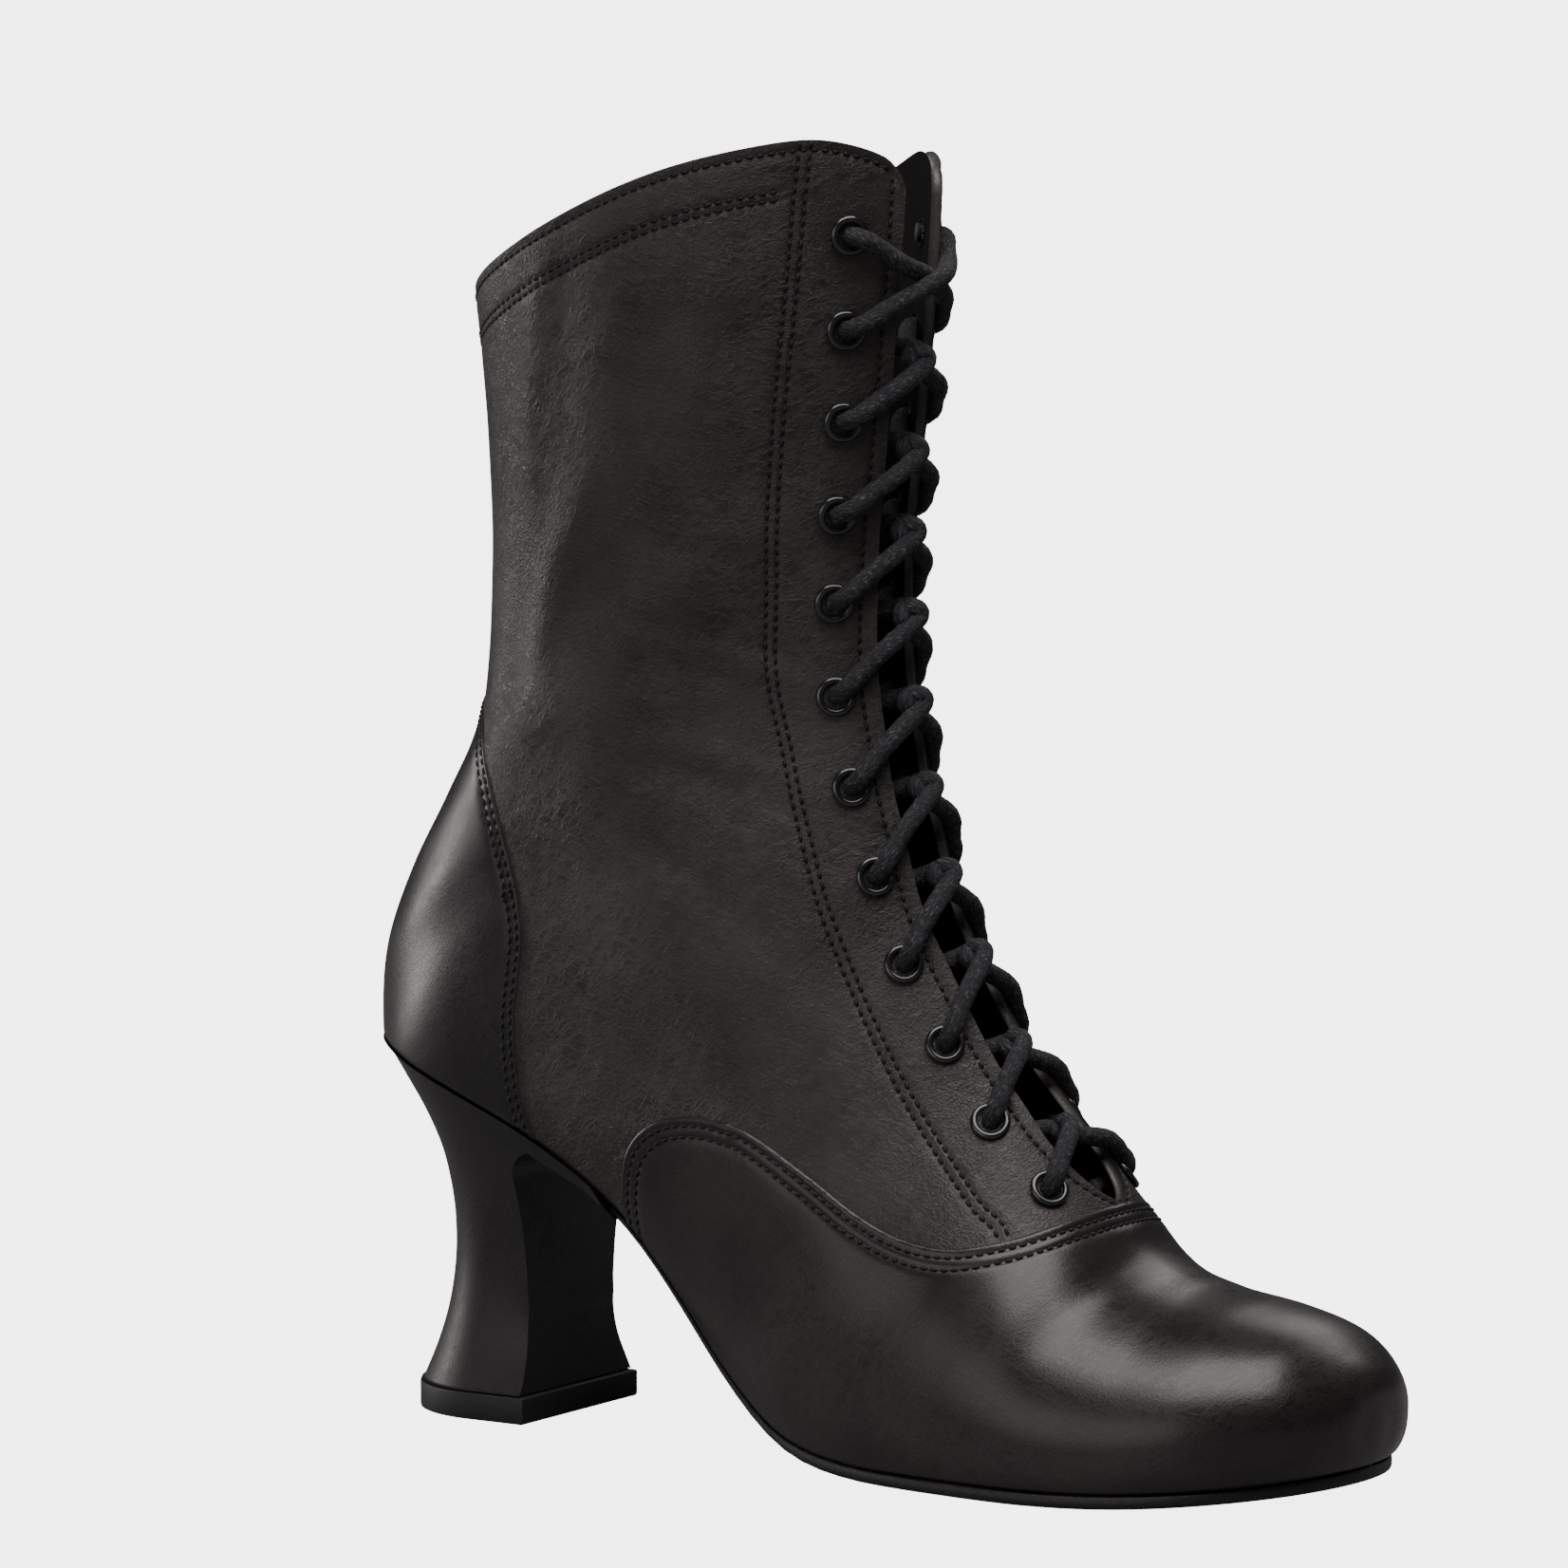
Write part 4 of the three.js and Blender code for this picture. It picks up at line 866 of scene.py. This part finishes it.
lacing = {
    "count": 12, "insetTop": 11, "insetFoot": 7.5, "first": 15.5, "last": 13,
    "flange": 8.5, "flangeHeight": 0.8, "lift": 0.45, "bore": 5.2,
    "lace": 4.1, "sink": 1.8, "diveDepth": 1.2, "rounding": 22,
    "settleNear": 0.4, "settleFar": 1.1,
}
print("eyelets and lace")


def backFromThroat(t, side, distance):  # angle at a distance over the leather from the throat
    a, step = 0.5, 0.0025
    last = lastPoint(t, a)
    while abs(last[1] - throatY) < throatHalf(last[2]) and 0.3 < a < 0.7:
        a -= step * side
        last = lastPoint(t, a)
    walked = 0
    while walked < distance:
        a -= step * side
        after = lastPoint(t, a)
        walked += np.linalg.norm(after - last)
        last = after
    return a


def eyeletSpot(t, side, share):
    inset = mix(lacing["insetTop"], lacing["insetFoot"], share)
    a = backFromThroat(t, side, inset)
    return {"t": t, "a": a, "at": skin(t, a, upperLook["facingStep"]), "out": outward(t, a)}


def eyeletRows():
    rows, centres = [], []
    for t in np.arange(lastRow, 5, -0.1):
        z = float(lastPoint(t, 0.5)[2])
        if z > throatTop or z < throatFoot:
            continue
        rows.append(t)
        centres.append(eyeletSpot(t, 1, (throatTop - z) / (throatTop - throatFoot))["at"])
    walked = walk(np.array(centres))
    run = walked[-1] - lacing["first"] - lacing["last"]
    at = lacing["first"] + run * np.arange(lacing["count"]) / (lacing["count"] - 1)
    return np.interp(at, walked, rows)


holes = {
    side: [eyeletSpot(t, side, k / (lacing["count"] - 1)) for k, t in enumerate(eyeletRows())]
    for side in (1, -1)
}
bore, flange = lacing["bore"] / 2, lacing["flange"] / 2
top, shank = lacing["lift"] + lacing["flangeHeight"], -boot["wall"] - 0.9
profile = [(bore, shank), (bore, 0), (bore + 0.05, top * 0.62)]
for angle in np.radians(np.linspace(170, -20, 9)):
    profile.append((mix(bore, flange, (1 + math.cos(angle)) / 2), top * (0.42 + 0.58 * math.sin(angle))))
profile += [(flange - 0.2, -0.1), (bore + 0.6, -0.1), (bore + 0.6, shank)]
eyelets = {}
for side, name in ((1, "outer"), (-1, "inner")):
    vertices, loops, steps = [], [], 32
    for hole in holes[side]:
        n = unit(hole["out"])
        u = unit(np.cross(n, (0, 1, 0)))
        w = np.cross(n, u)
        loops += strips(steps, len(profile), len(vertices), around=True, loop=True)
        for k in range(steps):
            c, s = math.cos(turn * k / steps), math.sin(turn * k / steps)
            vertices += [hole["at"] + (u * c + w * s) * r + n * z for r, z in profile]
    eyelets[name] = makeMesh("eyelets_" + name, toRow(np.array(vertices)), loops)
    faceOut(eyelets[name])


laceRadius, over = lacing["lace"] / 2, upperLook["facingStep"] + 0.25
onLeather, underLeather = laceRadius + over, -(boot["wall"] + laceRadius + 0.35)
onEyelet = onLeather + top * 0.85


def laceArm(k, side, rise, overBoth):  # from one eyelet across the throat to the next one up
    start, end = holes[side][k + 1], holes[-side][k]
    settle = lacing["settleNear"] if side > 0 else lacing["settleFar"]

    def row(share):
        return mix(start["t"], end["t"], share)

    edgeStart = backFromThroat(row(0.22), side, 0)
    edgeEnd = backFromThroat(row(0.56), -side, 0)
    stops = [
        (0.04, mix(start["a"], edgeStart, 0.3), onEyelet - settle),
        (0.12, mix(start["a"], edgeStart, 0.62), onLeather + 0.4 - settle),
        (0.22, mix(edgeStart, 0.5, 0.1), onLeather - 0.2 - settle / 2),
        (0.36, mix(edgeStart, 0.5, 0.85), rise),
    ]
    if overBoth:
        stops += [
            (0.6, edgeEnd, onLeather - 0.3),
            (0.82, mix(edgeEnd, end["a"], 0.5), onLeather - 0.4),
            (0.95, mix(edgeEnd, end["a"], 0.8), onEyelet - 0.8),
        ]
    else:
        stops += [
            (0.47, mix(edgeEnd, 0.5, 0.7), rise - lacing["diveDepth"]),
            (0.62, mix(edgeEnd, 0.5, 0.1), underLeather - 0.8),
            (0.84, mix(edgeEnd, end["a"], 0.55), underLeather),
        ]
    return [skin(row(share), a, out) for share, a, out in stops]


def throughHole(hole, upward):
    rises = [underLeather + 0.6, -1.4, 0.4]
    points = [hole["at"] + unit(hole["out"]) * rise for rise in rises]
    return points if upward else points[::-1]


def smoothLine(points, pitch=0.5):
    points = np.array(points)
    t = np.linspace(0, len(points) - 1, len(points) * 24)
    line = resample(np.column_stack([blend(column, t) for column in points.T]), pitch)
    for _ in range(lacing["rounding"]):
        line[1:-1] = (line[:-2] + 2 * line[1:-1] + line[2:]) / 4
    return resample(line, pitch)


def braid(lines, radius, sides=16):  # cords with a woven surface, unrolled in millimetres
    vertices, loops, unrolled = [], [], []
    facet = turn * radius / sides
    for line in lines:
        ways = unit(np.gradient(line, axis=0))
        pitch = np.linalg.norm(line[1] - line[0])
        u = unit(np.cross(ways[0], (0.3, 1, 0.2)))
        loops += strips(len(line), sides, len(vertices), around=True)
        loops += ends(len(line), sides, len(vertices))
        for i, (p, d) in enumerate(zip(line, ways)):
            u = unit(u - d * np.dot(u, d))
            w = np.cross(d, u)
            lay = i * pitch * 0.9
            for k in range(sides):
                angle = turn * k / sides
                weave = max(abs(math.sin(2 * angle + lay)), abs(math.sin(2 * angle - lay)))
                reach = radius * (0.9 + 0.13 * weave)
                vertices.append(p + (u * math.cos(angle) + w * math.sin(angle)) * reach)
        for i in range(len(line) - 1):
            for k in range(sides):
                corners = ((k, i), (k + 1, i), (k + 1, i + 1), (k, i + 1))
                unrolled += [(a * facet, b * pitch) for a, b in corners]
        unrolled += [(0.5, 0)] * (2 * sides)
    piece = makeMesh("lace", toRow(np.array(vertices)), loops)
    layer = piece.data.uv_layers.new(name="unrolled")
    layer.data.foreach_set("uv", np.ravel(unrolled))
    return piece


lowest = {side: holes[side][-1] for side in (1, -1)}


def behindLowest(share, rise):  # a point inside, between the lowest eyelets
    return mix(lowest[1]["at"], lowest[-1]["at"], share) + rise


strands = []
for side in (1, -1):
    inward = unit(lowest[side]["out"]) * (underLeather - 0.2)
    points = [behindLowest(0.5 - 0.3 * side, inward), *throughHole(lowest[side], True)]
    current = side
    for k in range(lacing["count"] - 2, -1, -1):
        below = 0 if current > 0 else laceRadius
        rise = 1.7 - 1.95 * below if k == 0 else -lacing["sink"] - 1.9 * below
        points += laceArm(k, current, rise, k == 0)
        points += throughHole(holes[-current][k], k > 0)
        current = -current
    strands.append(smoothLine(points))
inward = unit(lowest[1]["out"] + lowest[-1]["out"]) * (underLeather - 0.6)
strands.append(smoothLine([behindLowest(share, inward) for share in (0.1, 0.35, 0.65, 0.9)]))
lace = braid(strands, laceRadius)
print("lace in millimetres", [round(walk(strand)[-1]) for strand in strands])


# materials

print("materials")
tones = {
    "quarterDark": (0.0145, 0.0121, 0.0113), "quarterLight": (0.0375, 0.032, 0.0308),
    "vampDark": (0.0115, 0.0094, 0.0098), "vampLight": (0.0215, 0.0178, 0.0184),
    "heelDark": (0.0075, 0.0066, 0.0068), "heelLight": (0.0145, 0.0128, 0.013),
    # painted highlight: the folded edge tones are much lighter than the leather, standing in for the light
    # band along the rolled edge
    "foldHighlightDark": (0.03, 0.0275, 0.026), "foldHighlightLight": (0.085, 0.079, 0.073),
    "sole": (0.009, 0.0085, 0.0085), "rubber": (0.011, 0.011, 0.0115),
    "lining": (0.0085, 0.008, 0.0078), "thread": (0.0045, 0.0042, 0.0042),
    "lace": (0.0105, 0.0103, 0.0132), "laceFibre": (0.12, 0.117, 0.14),
    "eyelet": (0.008, 0.009, 0.0098), "floor": (0.2, 0.2, 0.2),
}
number, colour, vector = "NodeSocketFloat", "NodeSocketColor", "NodeSocketVector"


def put(tree, kind, **sockets):  # a node with its sockets linked or set
    node = tree.nodes.new(kind)
    for name, value in sockets.items():
        if isinstance(value, bpy.types.NodeSocket):
            tree.links.new(value, node.inputs[name])
        elif name in node.inputs:
            node.inputs[name].default_value = value
        else:
            setattr(node, name, value)
    return node


def feed(tree, socket, value):
    if isinstance(value, bpy.types.NodeSocket):
        tree.links.new(value, socket)
    else:
        socket.default_value = value


def calc(tree, operation, a, b=0.0):
    node = put(tree, "ShaderNodeMath", operation=operation)
    feed(tree, node.inputs[0], a)
    feed(tree, node.inputs[1], b)
    return node.outputs[0]


def ramp(tree, value, low, high, toLow=0.0, toHigh=1.0):
    node = put(tree, "ShaderNodeMapRange", interpolation_type="SMOOTHSTEP", Value=value)
    for name, limit in (("From Min", low), ("From Max", high), ("To Min", toLow), ("To Max", toHigh)):
        node.inputs[name].default_value = limit
    return node.outputs[0]


def blendColours(tree, share, a, b):
    node = put(tree, "ShaderNodeMix", data_type="RGBA", Factor=share)
    for name, value in (("A", a), ("B", b)):
        feed(tree, [s for s in node.inputs if s.name == name and s.type == "RGBA"][0], value)
    return [s for s in node.outputs if s.type == "RGBA"][0]


def group(name, inputs, outputs):
    tree = bpy.data.node_groups.new(name, "ShaderNodeTree")
    for label, kind, value in inputs:
        socket = tree.interface.new_socket(label, in_out="INPUT", socket_type=kind)
        socket.default_value = value
    for label, kind in outputs:
        tree.interface.new_socket(label, in_out="OUTPUT", socket_type=kind)
    return tree, tree.nodes.new("NodeGroupInput"), tree.nodes.new("NodeGroupOutput")


def onPiece(tree, scale=(1, 1, 1), turnBy=(0, 0, 0)):  # the piece's own metres, turned, then stretched
    where = tree.nodes.new("ShaderNodeTexCoord").outputs["Object"]
    turned = put(tree, "ShaderNodeMapping", Vector=where, Rotation=turnBy)
    return put(tree, "ShaderNodeMapping", Vector=turned.outputs[0], Scale=scale).outputs[0]


def hideGroup():  # pebbles, pores and fine wrinkles of leather, with clouded tone and gloss
    tree, given, made = group("hide", [
        ("Pebble", number, 0.5), ("Crease", number, 0.5), ("Gloss", number, 0.35),
        ("Dark", colour, (0.01, 0.01, 0.01, 1)), ("Light", colour, (0.02, 0.02, 0.02, 1)),
    ], [("Tone", colour), ("Roughness", number), ("Height", number)])
    even = onPiece(tree)
    warp = put(tree, "ShaderNodeTexNoise", Vector=even, Scale=90.0, Detail=3.0)
    bent = put(tree, "ShaderNodeVectorMath", operation="MULTIPLY_ADD")
    feed(tree, bent.inputs[0], warp.outputs["Color"])
    feed(tree, bent.inputs[1], (0.006, 0.006, 0.006))
    feed(tree, bent.inputs[2], even)
    pebbles = put(tree, "ShaderNodeTexVoronoi", Vector=bent.outputs[0], Scale=1600.0)
    domes = ramp(tree, pebbles.outputs["Distance"], 0.15, 0.75, 1, 0)
    wrinkles = 0.0
    for turnBy, scale in (((0, 0.5, 0.3), (95, 95, 420)), ((0, -0.35, -0.2), (120, 120, 560)),
                          ((0.1, 1.0, 0.1), (80, 80, 330))):
        noise = put(tree, "ShaderNodeTexNoise", Vector=onPiece(tree, scale, turnBy), Scale=1.0,
                    Detail=4.0, Roughness=0.62, Distortion=0.6)
        away = calc(tree, "ABSOLUTE", calc(tree, "SUBTRACT", noise.outputs["Fac"], 0.5))
        wrinkles = calc(tree, "MAXIMUM", ramp(tree, away, 0.0, 0.045, 1, 0), wrinkles)
    patches = put(tree, "ShaderNodeTexNoise", Vector=even, Scale=26.0, Detail=2.0)
    wrinkles = calc(tree, "MULTIPLY", wrinkles, ramp(tree, patches.outputs["Fac"], 0.42, 0.64, 0.4, 1))
    pores = put(tree, "ShaderNodeTexNoise", Vector=even, Scale=2600.0, Detail=2.0)
    height = calc(tree, "MULTIPLY", domes, given.outputs["Pebble"])
    height = calc(tree, "ADD", height, calc(tree, "MULTIPLY", pores.outputs["Fac"], 0.22))
    deep = calc(tree, "MULTIPLY", wrinkles, given.outputs["Crease"])
    feed(tree, made.inputs["Height"], calc(tree, "SUBTRACT", height, deep))
    cloud = put(tree, "ShaderNodeTexNoise", Vector=even, Scale=34.0, Detail=5.0, Roughness=0.6)
    share = calc(tree, "ADD", ramp(tree, cloud.outputs["Fac"], 0.35, 0.68, 0, 0.7),
                 calc(tree, "MULTIPLY", wrinkles, 0.35))
    tone = blendColours(tree, share, given.outputs["Dark"], given.outputs["Light"])
    feed(tree, made.inputs["Tone"], tone)
    dull = calc(tree, "ADD", ramp(tree, cloud.outputs["Fac"], 0.3, 0.7, 0, 0.07),
                calc(tree, "MULTIPLY", wrinkles, 0.08))
    feed(tree, made.inputs["Roughness"], calc(tree, "ADD", given.outputs["Gloss"], dull))
    return tree


def clothGroup():  # light flecks of fibre over a dark cord or cloth
    tree, given, made = group("fibres", [
        ("Where", vector, (0, 0, 0)),
        ("Dark", colour, (0.01, 0.01, 0.01, 1)), ("Light", colour, (0.05, 0.05, 0.05, 1)),
        ("Strands", number, 0.5),
    ], [("Tone", colour), ("Height", number)])
    where = given.outputs["Where"]
    fuzz = put(tree, "ShaderNodeTexNoise", Vector=where, Scale=1500.0, Detail=3.0, Roughness=0.7)
    slow = put(tree, "ShaderNodeTexNoise", Vector=where, Scale=240.0, Detail=2.0)
    flecks = ramp(tree, fuzz.outputs["Fac"], 0.5, 0.66)
    share = calc(tree, "MULTIPLY", flecks, given.outputs["Strands"])
    share = calc(tree, "MULTIPLY", share, ramp(tree, slow.outputs["Fac"], 0.3, 0.7, 0.4, 1))
    tone = blendColours(tree, share, given.outputs["Dark"], given.outputs["Light"])
    feed(tree, made.inputs["Tone"], tone)
    feed(tree, made.inputs["Height"], fuzz.outputs["Fac"])
    return tree


hide, fibres = hideGroup(), clothGroup()


def alongCord(nodes):  # fibres that lie slantwise along the unrolled cord
    where = put(nodes, "ShaderNodeUVMap", uv_map="unrolled")
    slant = put(nodes, "ShaderNodeMapping", Vector=where.outputs[0], Rotation=(0, 0, 0.4))
    fine = put(nodes, "ShaderNodeMapping", Vector=slant.outputs[0], Scale=(0.0024, 0.0005, 1))
    return fine.outputs[0]


def surface(name, effect, values, bump, sockets, lie=onPiece):
    look = bpy.data.materials.new(name)
    look.use_nodes = True
    nodes = look.node_tree
    shader = nodes.nodes["Principled BSDF"]
    for socket, value in sockets.items():
        shader.inputs[socket].default_value = value
    grain = put(nodes, "ShaderNodeGroup", node_tree=effect)
    for socket, value in values.items():
        grain.inputs[socket].default_value = (*tones[value], 1) if value in tones else value
    if "Where" in grain.inputs:
        feed(nodes, grain.inputs["Where"], lie(nodes))
    if values["Dark"] == values["Light"]:  # one tone all over
        shader.inputs["Base Color"].default_value = (*tones[values["Dark"]], 1)
    else:
        feed(nodes, shader.inputs["Base Color"], grain.outputs["Tone"])
    if "Roughness" in grain.outputs:
        feed(nodes, shader.inputs["Roughness"], grain.outputs["Roughness"])
    relief = put(nodes, "ShaderNodeBump", Strength=bump[0], Distance=bump[1] * mm,
                 Height=grain.outputs["Height"])
    feed(nodes, shader.inputs["Normal"], relief.outputs["Normal"])
    return look


def leather(name, dark, light, gloss, pebble, crease, coat, relief):
    values = {"Dark": dark, "Light": light, "Gloss": gloss, "Pebble": pebble, "Crease": crease}
    sockets = {"Specular IOR Level": 0.42, "Coat Weight": coat, "Coat Roughness": 0.24}
    return surface(name, hide, values, (0.75, relief), sockets)


def cloth(name, dark, light, strands, bump, sockets, lie=onPiece):
    return surface(name, fibres, {"Dark": dark, "Light": light, "Strands": strands}, bump, sockets, lie)


# Leathers: dark and light tone, gloss, pebble, crease, coat, relief in millimetres
looks = {
    "quarter": leather("quarter leather", "quarterDark", "quarterLight", 0.39, 0.4, 0.8, 0.0, 0.18),
    "vamp": leather("vamp leather", "vampDark", "vampLight", 0.26, 0.16, 0.16, 0.1, 0.07),
    "counter": leather("counter leather", "heelDark", "heelLight", 0.31, 0.16, 0.2, 0.04, 0.06),
    "heel": leather("heel leather", "heelDark", "heelLight", 0.38, 0.12, 0.12, 0.0, 0.08),
    # painted highlight: the folded edge of collar and throat takes lighter tones to show the light its
    # roll catches
    "edge": leather("folded edge", "foldHighlightDark", "foldHighlightLight", 0.33, 0.3, 0.3, 0.0, 0.1),
    "sole": leather("sole leather", "sole", "sole", 0.42, 0.3, 0.2, 0.0, 0.1),
    "rubber": surface("rubber", hide, {
        "Dark": "rubber", "Light": "rubber", "Gloss": 0.5, "Pebble": 0.15, "Crease": 0.05,
    }, (0.5, 0.1), {"Specular IOR Level": 0.4}),
    "lining": cloth("lining cloth", "lining", "lining", 0.2, (0.4, 0.15),
                    {"Roughness": 0.9, "Specular IOR Level": 0.08}),
    "thread": cloth("thread", "thread", "laceFibre", 0.12, (0.4, 0.06),
                    {"Roughness": 0.6, "Specular IOR Level": 0.3}),
    "lace": cloth("lace cord", "lace", "laceFibre", 1.0, (1.0, 0.45),
                  {"Roughness": 0.72, "Specular IOR Level": 0.35}, alongCord),
    "eyelet": cloth("eyelet paint", "eyelet", "eyelet", 0.0, (0.1, 0.02),
                    {"Roughness": 0.24, "Coat Weight": 0.6, "Coat Roughness": 0.08}),
}

panelLooks = {
    "quarters": "quarter", "counter": "counter", "top_band": "quarter", "facings": "quarter",
    "vamp": "vamp",
}
for name, piece in panelPieces.items():
    dress(piece, "boot_leather", looks[panelLooks[name]], "upper")
# the rolled edge wears the painted-highlight tones
dress(rolledEdge, "boot_leather", looks["edge"], "upper")
for piece in (lining, liningFar):
    dress(piece, "boot_leather", looks["lining"], "upper")
for piece in (nearThread, farThread):
    dress(piece, "boot_leather", looks["thread"], "upper")
dress(heel, "heel_leather", looks["heel"], "heel")
dress(topPiece, "heel_rubber", looks["rubber"], "top_piece")
dress(outsole, "sole_leather", looks["sole"], "outsole")
dress(insole, "lining_cloth", looks["lining"], "insole")
numbers = [f"{k:02d}" for k in range(1, lacing["count"] + 1)]
for name, piece in eyelets.items():
    dress(piece, "eyelet_metal", looks["eyelet"], *["eyelet_" + name + "_" + k for k in numbers])
dress(lace, "lace_cord", looks["lace"], "lace_bar", *["lace_crossing_" + k for k in numbers[:-1]])


# stage

print("stage")
studio = {
    "dim": 0.04, "white": 4.8, "floorGlow": 4.72, "warm": (1, 0.955, 0.935), "aim": (0, 0, 130),
    "boxes": {  # degrees right of the camera and up, distance, width and height, power
        "softbox left": (-118, 6, 1.8, (0.36, 1.1), 14),
        "softbox top": (10, 72, 1.5, (1.5, 1.2), 31),
        "softbox back": (142, 36, 1.9, (1.3, 0.7), 6),
        "softbox fill": (-42, 9, 2.3, (2.4, 1.3), 15),
    },
}
# The photo's camera: its place in millimetres, degrees round and down, and how far off centre it aims
view = {
    "spot": (818.4, -1317.9, 285), "turn": 34.5, "tilt": 5.178, "lens": 168.4,
    "right": 270 / 7728, "up": -13.46 / 7728,
}
around, tilt = math.radians(view["turn"]), math.radians(view["tilt"])
forward = Vector((-math.sin(around) * math.cos(tilt), math.cos(around) * math.cos(tilt), -math.sin(tilt)))
right = Vector((math.cos(around), math.sin(around), 0))
aim = forward + right * view["right"] + right.cross(forward) * view["up"]
lens = bpy.data.cameras.new("camera")
lens.lens, lens.sensor_width, lens.clip_start, lens.clip_end = view["lens"], 36, 0.01, 30
camera = bpy.data.objects.new("camera", lens)
bpy.context.scene.collection.objects.link(camera)
camera.location = Vector(view["spot"]) * mm
camera.rotation_euler = aim.to_track_quat("-Z", "Y").to_euler()
bpy.context.scene.camera = camera


def softbox(name, across, rise, distance, size, power):
    light = bpy.data.lights.new(name, "AREA")
    light.shape, light.size, light.size_y = "RECTANGLE", *size
    light.energy, light.color = power, studio["warm"]
    lamp = bpy.data.objects.new(name, light)
    bpy.context.scene.collection.objects.link(lamp)
    turned, lifted = math.radians(across), math.radians(rise)
    flat = Vector((forward.x, forward.y, 0)).normalized()
    way = (right * math.sin(turned) - flat * math.cos(turned)) * math.cos(lifted)
    way.z = math.sin(lifted)
    lamp.location = Vector(studio["aim"]) * mm + way * distance
    lamp.rotation_euler = way.to_track_quat("Z", "Y").to_euler()
    return lamp


def cameraOnly(tree, dim, bright):  # studio white behind the boot, dimmer where it is reflected
    ray = tree.nodes.new("ShaderNodeLightPath").outputs["Is Camera Ray"]
    return calc(tree, "ADD", calc(tree, "MULTIPLY", ray, bright - dim), dim)


world = bpy.data.worlds.new("world")
world.use_nodes = True
sky = world.node_tree.nodes["Background"]
sky.inputs["Color"].default_value = (0.98, 0.985, 1, 1)
feed(world.node_tree, sky.inputs["Strength"], cameraOnly(world.node_tree, studio["dim"], studio["white"]))
bpy.context.scene.world = world

floor = makeMesh("floor", [(-40, -40, 0), (40, -40, 0), (40, 40, 0), (-40, 40, 0)], [(0, 1, 2, 3)])
floorLook = bpy.data.materials.new("pale floor")
floorLook.use_nodes = True
floorNodes = floorLook.node_tree
floorShader = floorNodes.nodes["Principled BSDF"]
floorShader.inputs["Base Color"].default_value = (*tones["floor"], 1)
floorShader.inputs["Roughness"].default_value = 0.7
floorShader.inputs["Emission Color"].default_value = (1, 1, 1, 1)
feed(floorNodes, floorShader.inputs["Emission Strength"], cameraOnly(floorNodes, 0, studio["floorGlow"]))
floor.data.materials.append(floorLook)
lamps = [softbox(name, *values) for name, values in studio["boxes"].items()]
